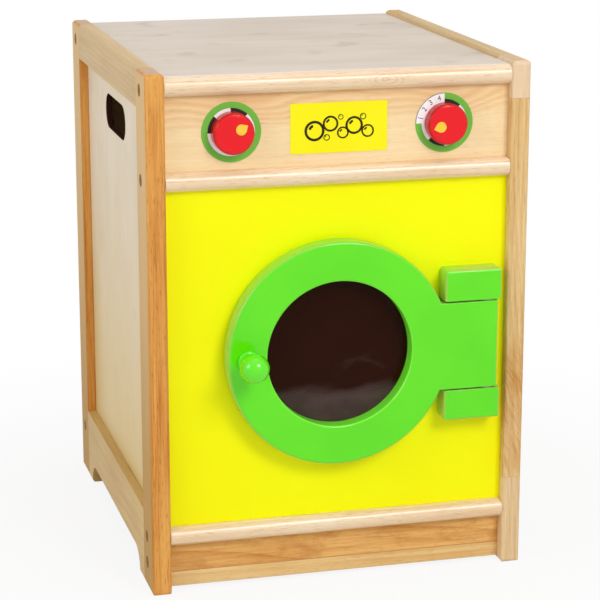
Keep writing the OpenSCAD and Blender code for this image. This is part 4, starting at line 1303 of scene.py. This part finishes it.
# %% [markdown]
# The holes don't have to be listed: the plain screws of the frame already sit in them. A node may
# hold several separate solids, so the next helper walks from corner to corner to tell them apart,
# and gives the box of each. Every box becomes one point for the tree, just under the head.

# %% Find the screws and set new ones in their place
OUT_BACK = (-math.pi / 2, 0, 0)


def islands(name):
    """The box of each separate solid in a node, as low and high corner, from left to right."""
    work = bmesh.new()
    work.from_mesh(nodes[name].data)
    bmesh.ops.remove_doubles(work, verts=work.verts, dist=0.001 * MM)
    unseen, boxes = set(work.verts), []
    while unseen:
        group, waiting = [], [unseen.pop()]
        while waiting:
            corner = waiting.pop()
            group.append(corner.co.copy())
            for link in corner.link_edges:
                other = link.other_vert(corner)
                if other in unseen:
                    unseen.discard(other)
                    waiting.append(other)
        boxes.append((Vector(map(min, zip(*group))), Vector(map(max, zip(*group)))))
    work.free()
    return sorted(boxes, key=lambda box: (round(box[0].x, 4), round(box[0].z, 4)))


for name, body in (("back_screws", "cabinet"), ("retainer_screws", "door"),
                   ("dial_screw_left", "dial_left"), ("dial_screw_right", "dial_right")):
    seats = islands(name)
    low, high = seats[0]
    under_head = [Vector(((a.x + b.x) / 2, b.y - HEAD_HEIGHT, (a.z + b.z) / 2))
                  for a, b in seats]
    piece = grow(name + "_turned", screw_tree, under_head, {
        "Head Radius": (high.x - low.x) / 2, "Head Height": HEAD_HEIGHT,
        "Shank Radius": SHANK_RADIUS, "Shank Length": round(high.y - low.y - HEAD_HEIGHT, 5),
        "Aim": OUT_BACK, "Seed": 3 + len(seats), "Finish": steel})
    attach(piece, body)
    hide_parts(name)

# %% [markdown]
# ## Bubbles on the label
# The label shows a drift of soap bubbles in dark ink: a ring each, with a short glint inside. The
# shader could print them, but real ink has a thickness, and it stands a fifth of a millimetre
# proud, as a thick screen print does. So a nib is drawn along a circle and an arc, and again one
# bubble is made and set on points, each with its own size.

# %% The bubble's recipe
BUBBLE_INPUTS = {
    "Stroke": ("NodeSocketFloat", 0.28),
    "Proud": ("NodeSocketFloat", 0.4 * MM),
    "Ink": ("NodeSocketMaterial", None),
}
GLINT_RADIUS, GLINT_START, GLINT_SWEEP = 0.58, 1.85, 1.0
bubble_tree, given = geometry_tree("bubble", BUBBLE_INPUTS)
tree = bubble_tree
nib = put(tree, "GeometryNodeCurvePrimitiveQuadrilateral", {
    "Width": given["Stroke"], "Height": given["Proud"]}).outputs[0]
ring = put(tree, "GeometryNodeCurvePrimitiveCircle", {"Resolution": 56, "Radius": 1.0}).outputs[0]
glint = put(tree, "GeometryNodeCurveArc", {
    "Resolution": 14, "Radius": GLINT_RADIUS, "Start Angle": GLINT_START,
    "Sweep Angle": GLINT_SWEEP}).outputs[0]
strokes = put(tree, "GeometryNodeJoinGeometry")
for line in (ring, glint):
    tree.links.new(line, strokes.inputs[0])
drawn = put(tree, "GeometryNodeCurveToMesh", {
    "Curve": strokes.outputs[0], "Profile Curve": nib, "Fill Caps": True}).outputs[0]
own_size = put(tree, "GeometryNodeInputNamedAttribute", {"Name": "size"},
               data_type="FLOAT").outputs[0]
placed = put(tree, "GeometryNodeInstanceOnPoints", {
    "Points": given["Points"], "Instance": drawn, "Rotation": (math.pi / 2, 0, 0),
    "Scale": join(tree, own_size, own_size, 1.0)}).outputs[0]
end_tree(tree, placed, given["Ink"])
print("bubble tree:", len(tree.nodes), "nodes")

# %% [markdown]
# The drift is drawn as a table: for each bubble, how far it lies right of the label's
# middle and above it, and its radius. Random places would be less work, but they touch and bunch,
# and a printed drift was laid out by someone.

# %% Bubbles
BUBBLES = ((-23.0, -2.5, 8.2), (-8.0, 3.6, 6.4), (3.6, -5.0, 4.8), (14.2, 1.4, 7.2),
           (27.0, -4.2, 5.2), (-11.6, -8.8, 2.6), (22.6, 9.2, 2.6), (1.6, 9.4, 2.2))
PRINTED = dict(coat=0.0, roughness=0.45, pebble=0.004 * MM, shine=0.1)
ink = paint("printing_ink", srgb(58, 48, 20), srgb(46, 38, 16), srgb(80, 70, 34),
            radius=0.1 * MM, **PRINTED)
label = middle("control_label")
centres = [Vector((label.x + x * MM, front("control_label"), label.z + z * MM))
           for x, z, size in BUBBLES]
bubbles = grow("label_bubbles", bubble_tree, centres, {"Ink": ink},
               sizes=[size * MM for x, z, size in BUBBLES])
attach(bubbles, "cabinet")

# %% [markdown]
# ## Numbers on the dial
# The paper sector of the right disc counts from 1 to 4. A text object makes each number, which is
# turned into a mesh before it is stood up, swung round the dial and joined with the others. The
# order of the turns matters: first upright to face the front, then about the dial's own axis.

# %% Dial numbers
NUMBER_HEIGHT, NUMBER_CIRCLE, NUMBER_PROUD = 5.0 * MM, 22.9 * MM, 0.04 * MM
NUMBERS = (("1", 168), ("2", 146), ("3", 125), ("4", 103))
dial_face = Vector((dial_right.x, front("dial_disc_right"), dial_right.z))


def number_shape(text):
    """One number as a flat mesh round the origin."""
    curve = bpy.data.curves.new("number_" + text, "FONT")
    curve.body, curve.size, curve.extrude = text, 1.4 * NUMBER_HEIGHT, NUMBER_PROUD
    curve.align_x, curve.align_y = "CENTER", "CENTER"
    curve.resolution_u = 4
    holder = bpy.data.objects.new("number_" + text, curve)
    scene.collection.objects.link(holder)
    depsgraph = bpy.context.evaluated_depsgraph_get()
    shape = bpy.data.meshes.new_from_object(holder.evaluated_get(depsgraph), depsgraph=depsgraph)
    bpy.data.objects.remove(holder)
    return shape


joined = bmesh.new()
for text, degrees in NUMBERS:
    angle = math.radians(degrees)
    outward = Vector((math.cos(angle), 0, math.sin(angle)))
    shape = number_shape(text)
    shape.transform(Matrix.Translation(dial_face + outward * NUMBER_CIRCLE)
                    @ Matrix.Rotation(math.pi / 2 - angle, 4, "Y")
                    @ Matrix.Rotation(math.pi / 2, 4, "X"))
    joined.from_mesh(shape)
    bpy.data.meshes.remove(shape)
print("numbers drawn:", len(NUMBERS))

# %% [markdown]
# A text's front, back and sides don't share their points, so each outline holds them twice. They
# are merged first, so that the shells close, and then the normals are turned outwards, which only
# works on closed shells. The numbers are ink on the disc, which stays still while the knob turns,
# so they ride the cabinet.

# %% Close the numbers and set them on the disc
bmesh.ops.remove_doubles(joined, verts=joined.verts, dist=0.0005 * MM)
bmesh.ops.recalc_face_normals(joined, faces=joined.faces)
number_mesh = bpy.data.meshes.new("dial_numbers")
joined.to_mesh(number_mesh)
joined.free()
number_mesh.materials.append(
    paint("number_ink", srgb(70, 70, 82), srgb(56, 56, 68), srgb(96, 96, 108),
          radius=0.05 * MM, **PRINTED))
numbers = bpy.data.objects.new("dial_numbers", number_mesh)
scene.collection.objects.link(numbers)
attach(numbers, "cabinet")
print("dial numbers:", len(number_mesh.polygons), "faces")

# %% [markdown]
# ## Hand the finishes to the frame
# The solids stay where they are and keep their shape: only the material in their slots changes.
# A solid without a finish would keep its flat tone and stand out, so any that is left is named.

# %% Assign
for name, material in finishes.items():
    for slot in nodes[name].material_slots:
        slot.material = material
print("without a finish:", sorted(set(nodes) - set(finishes)))
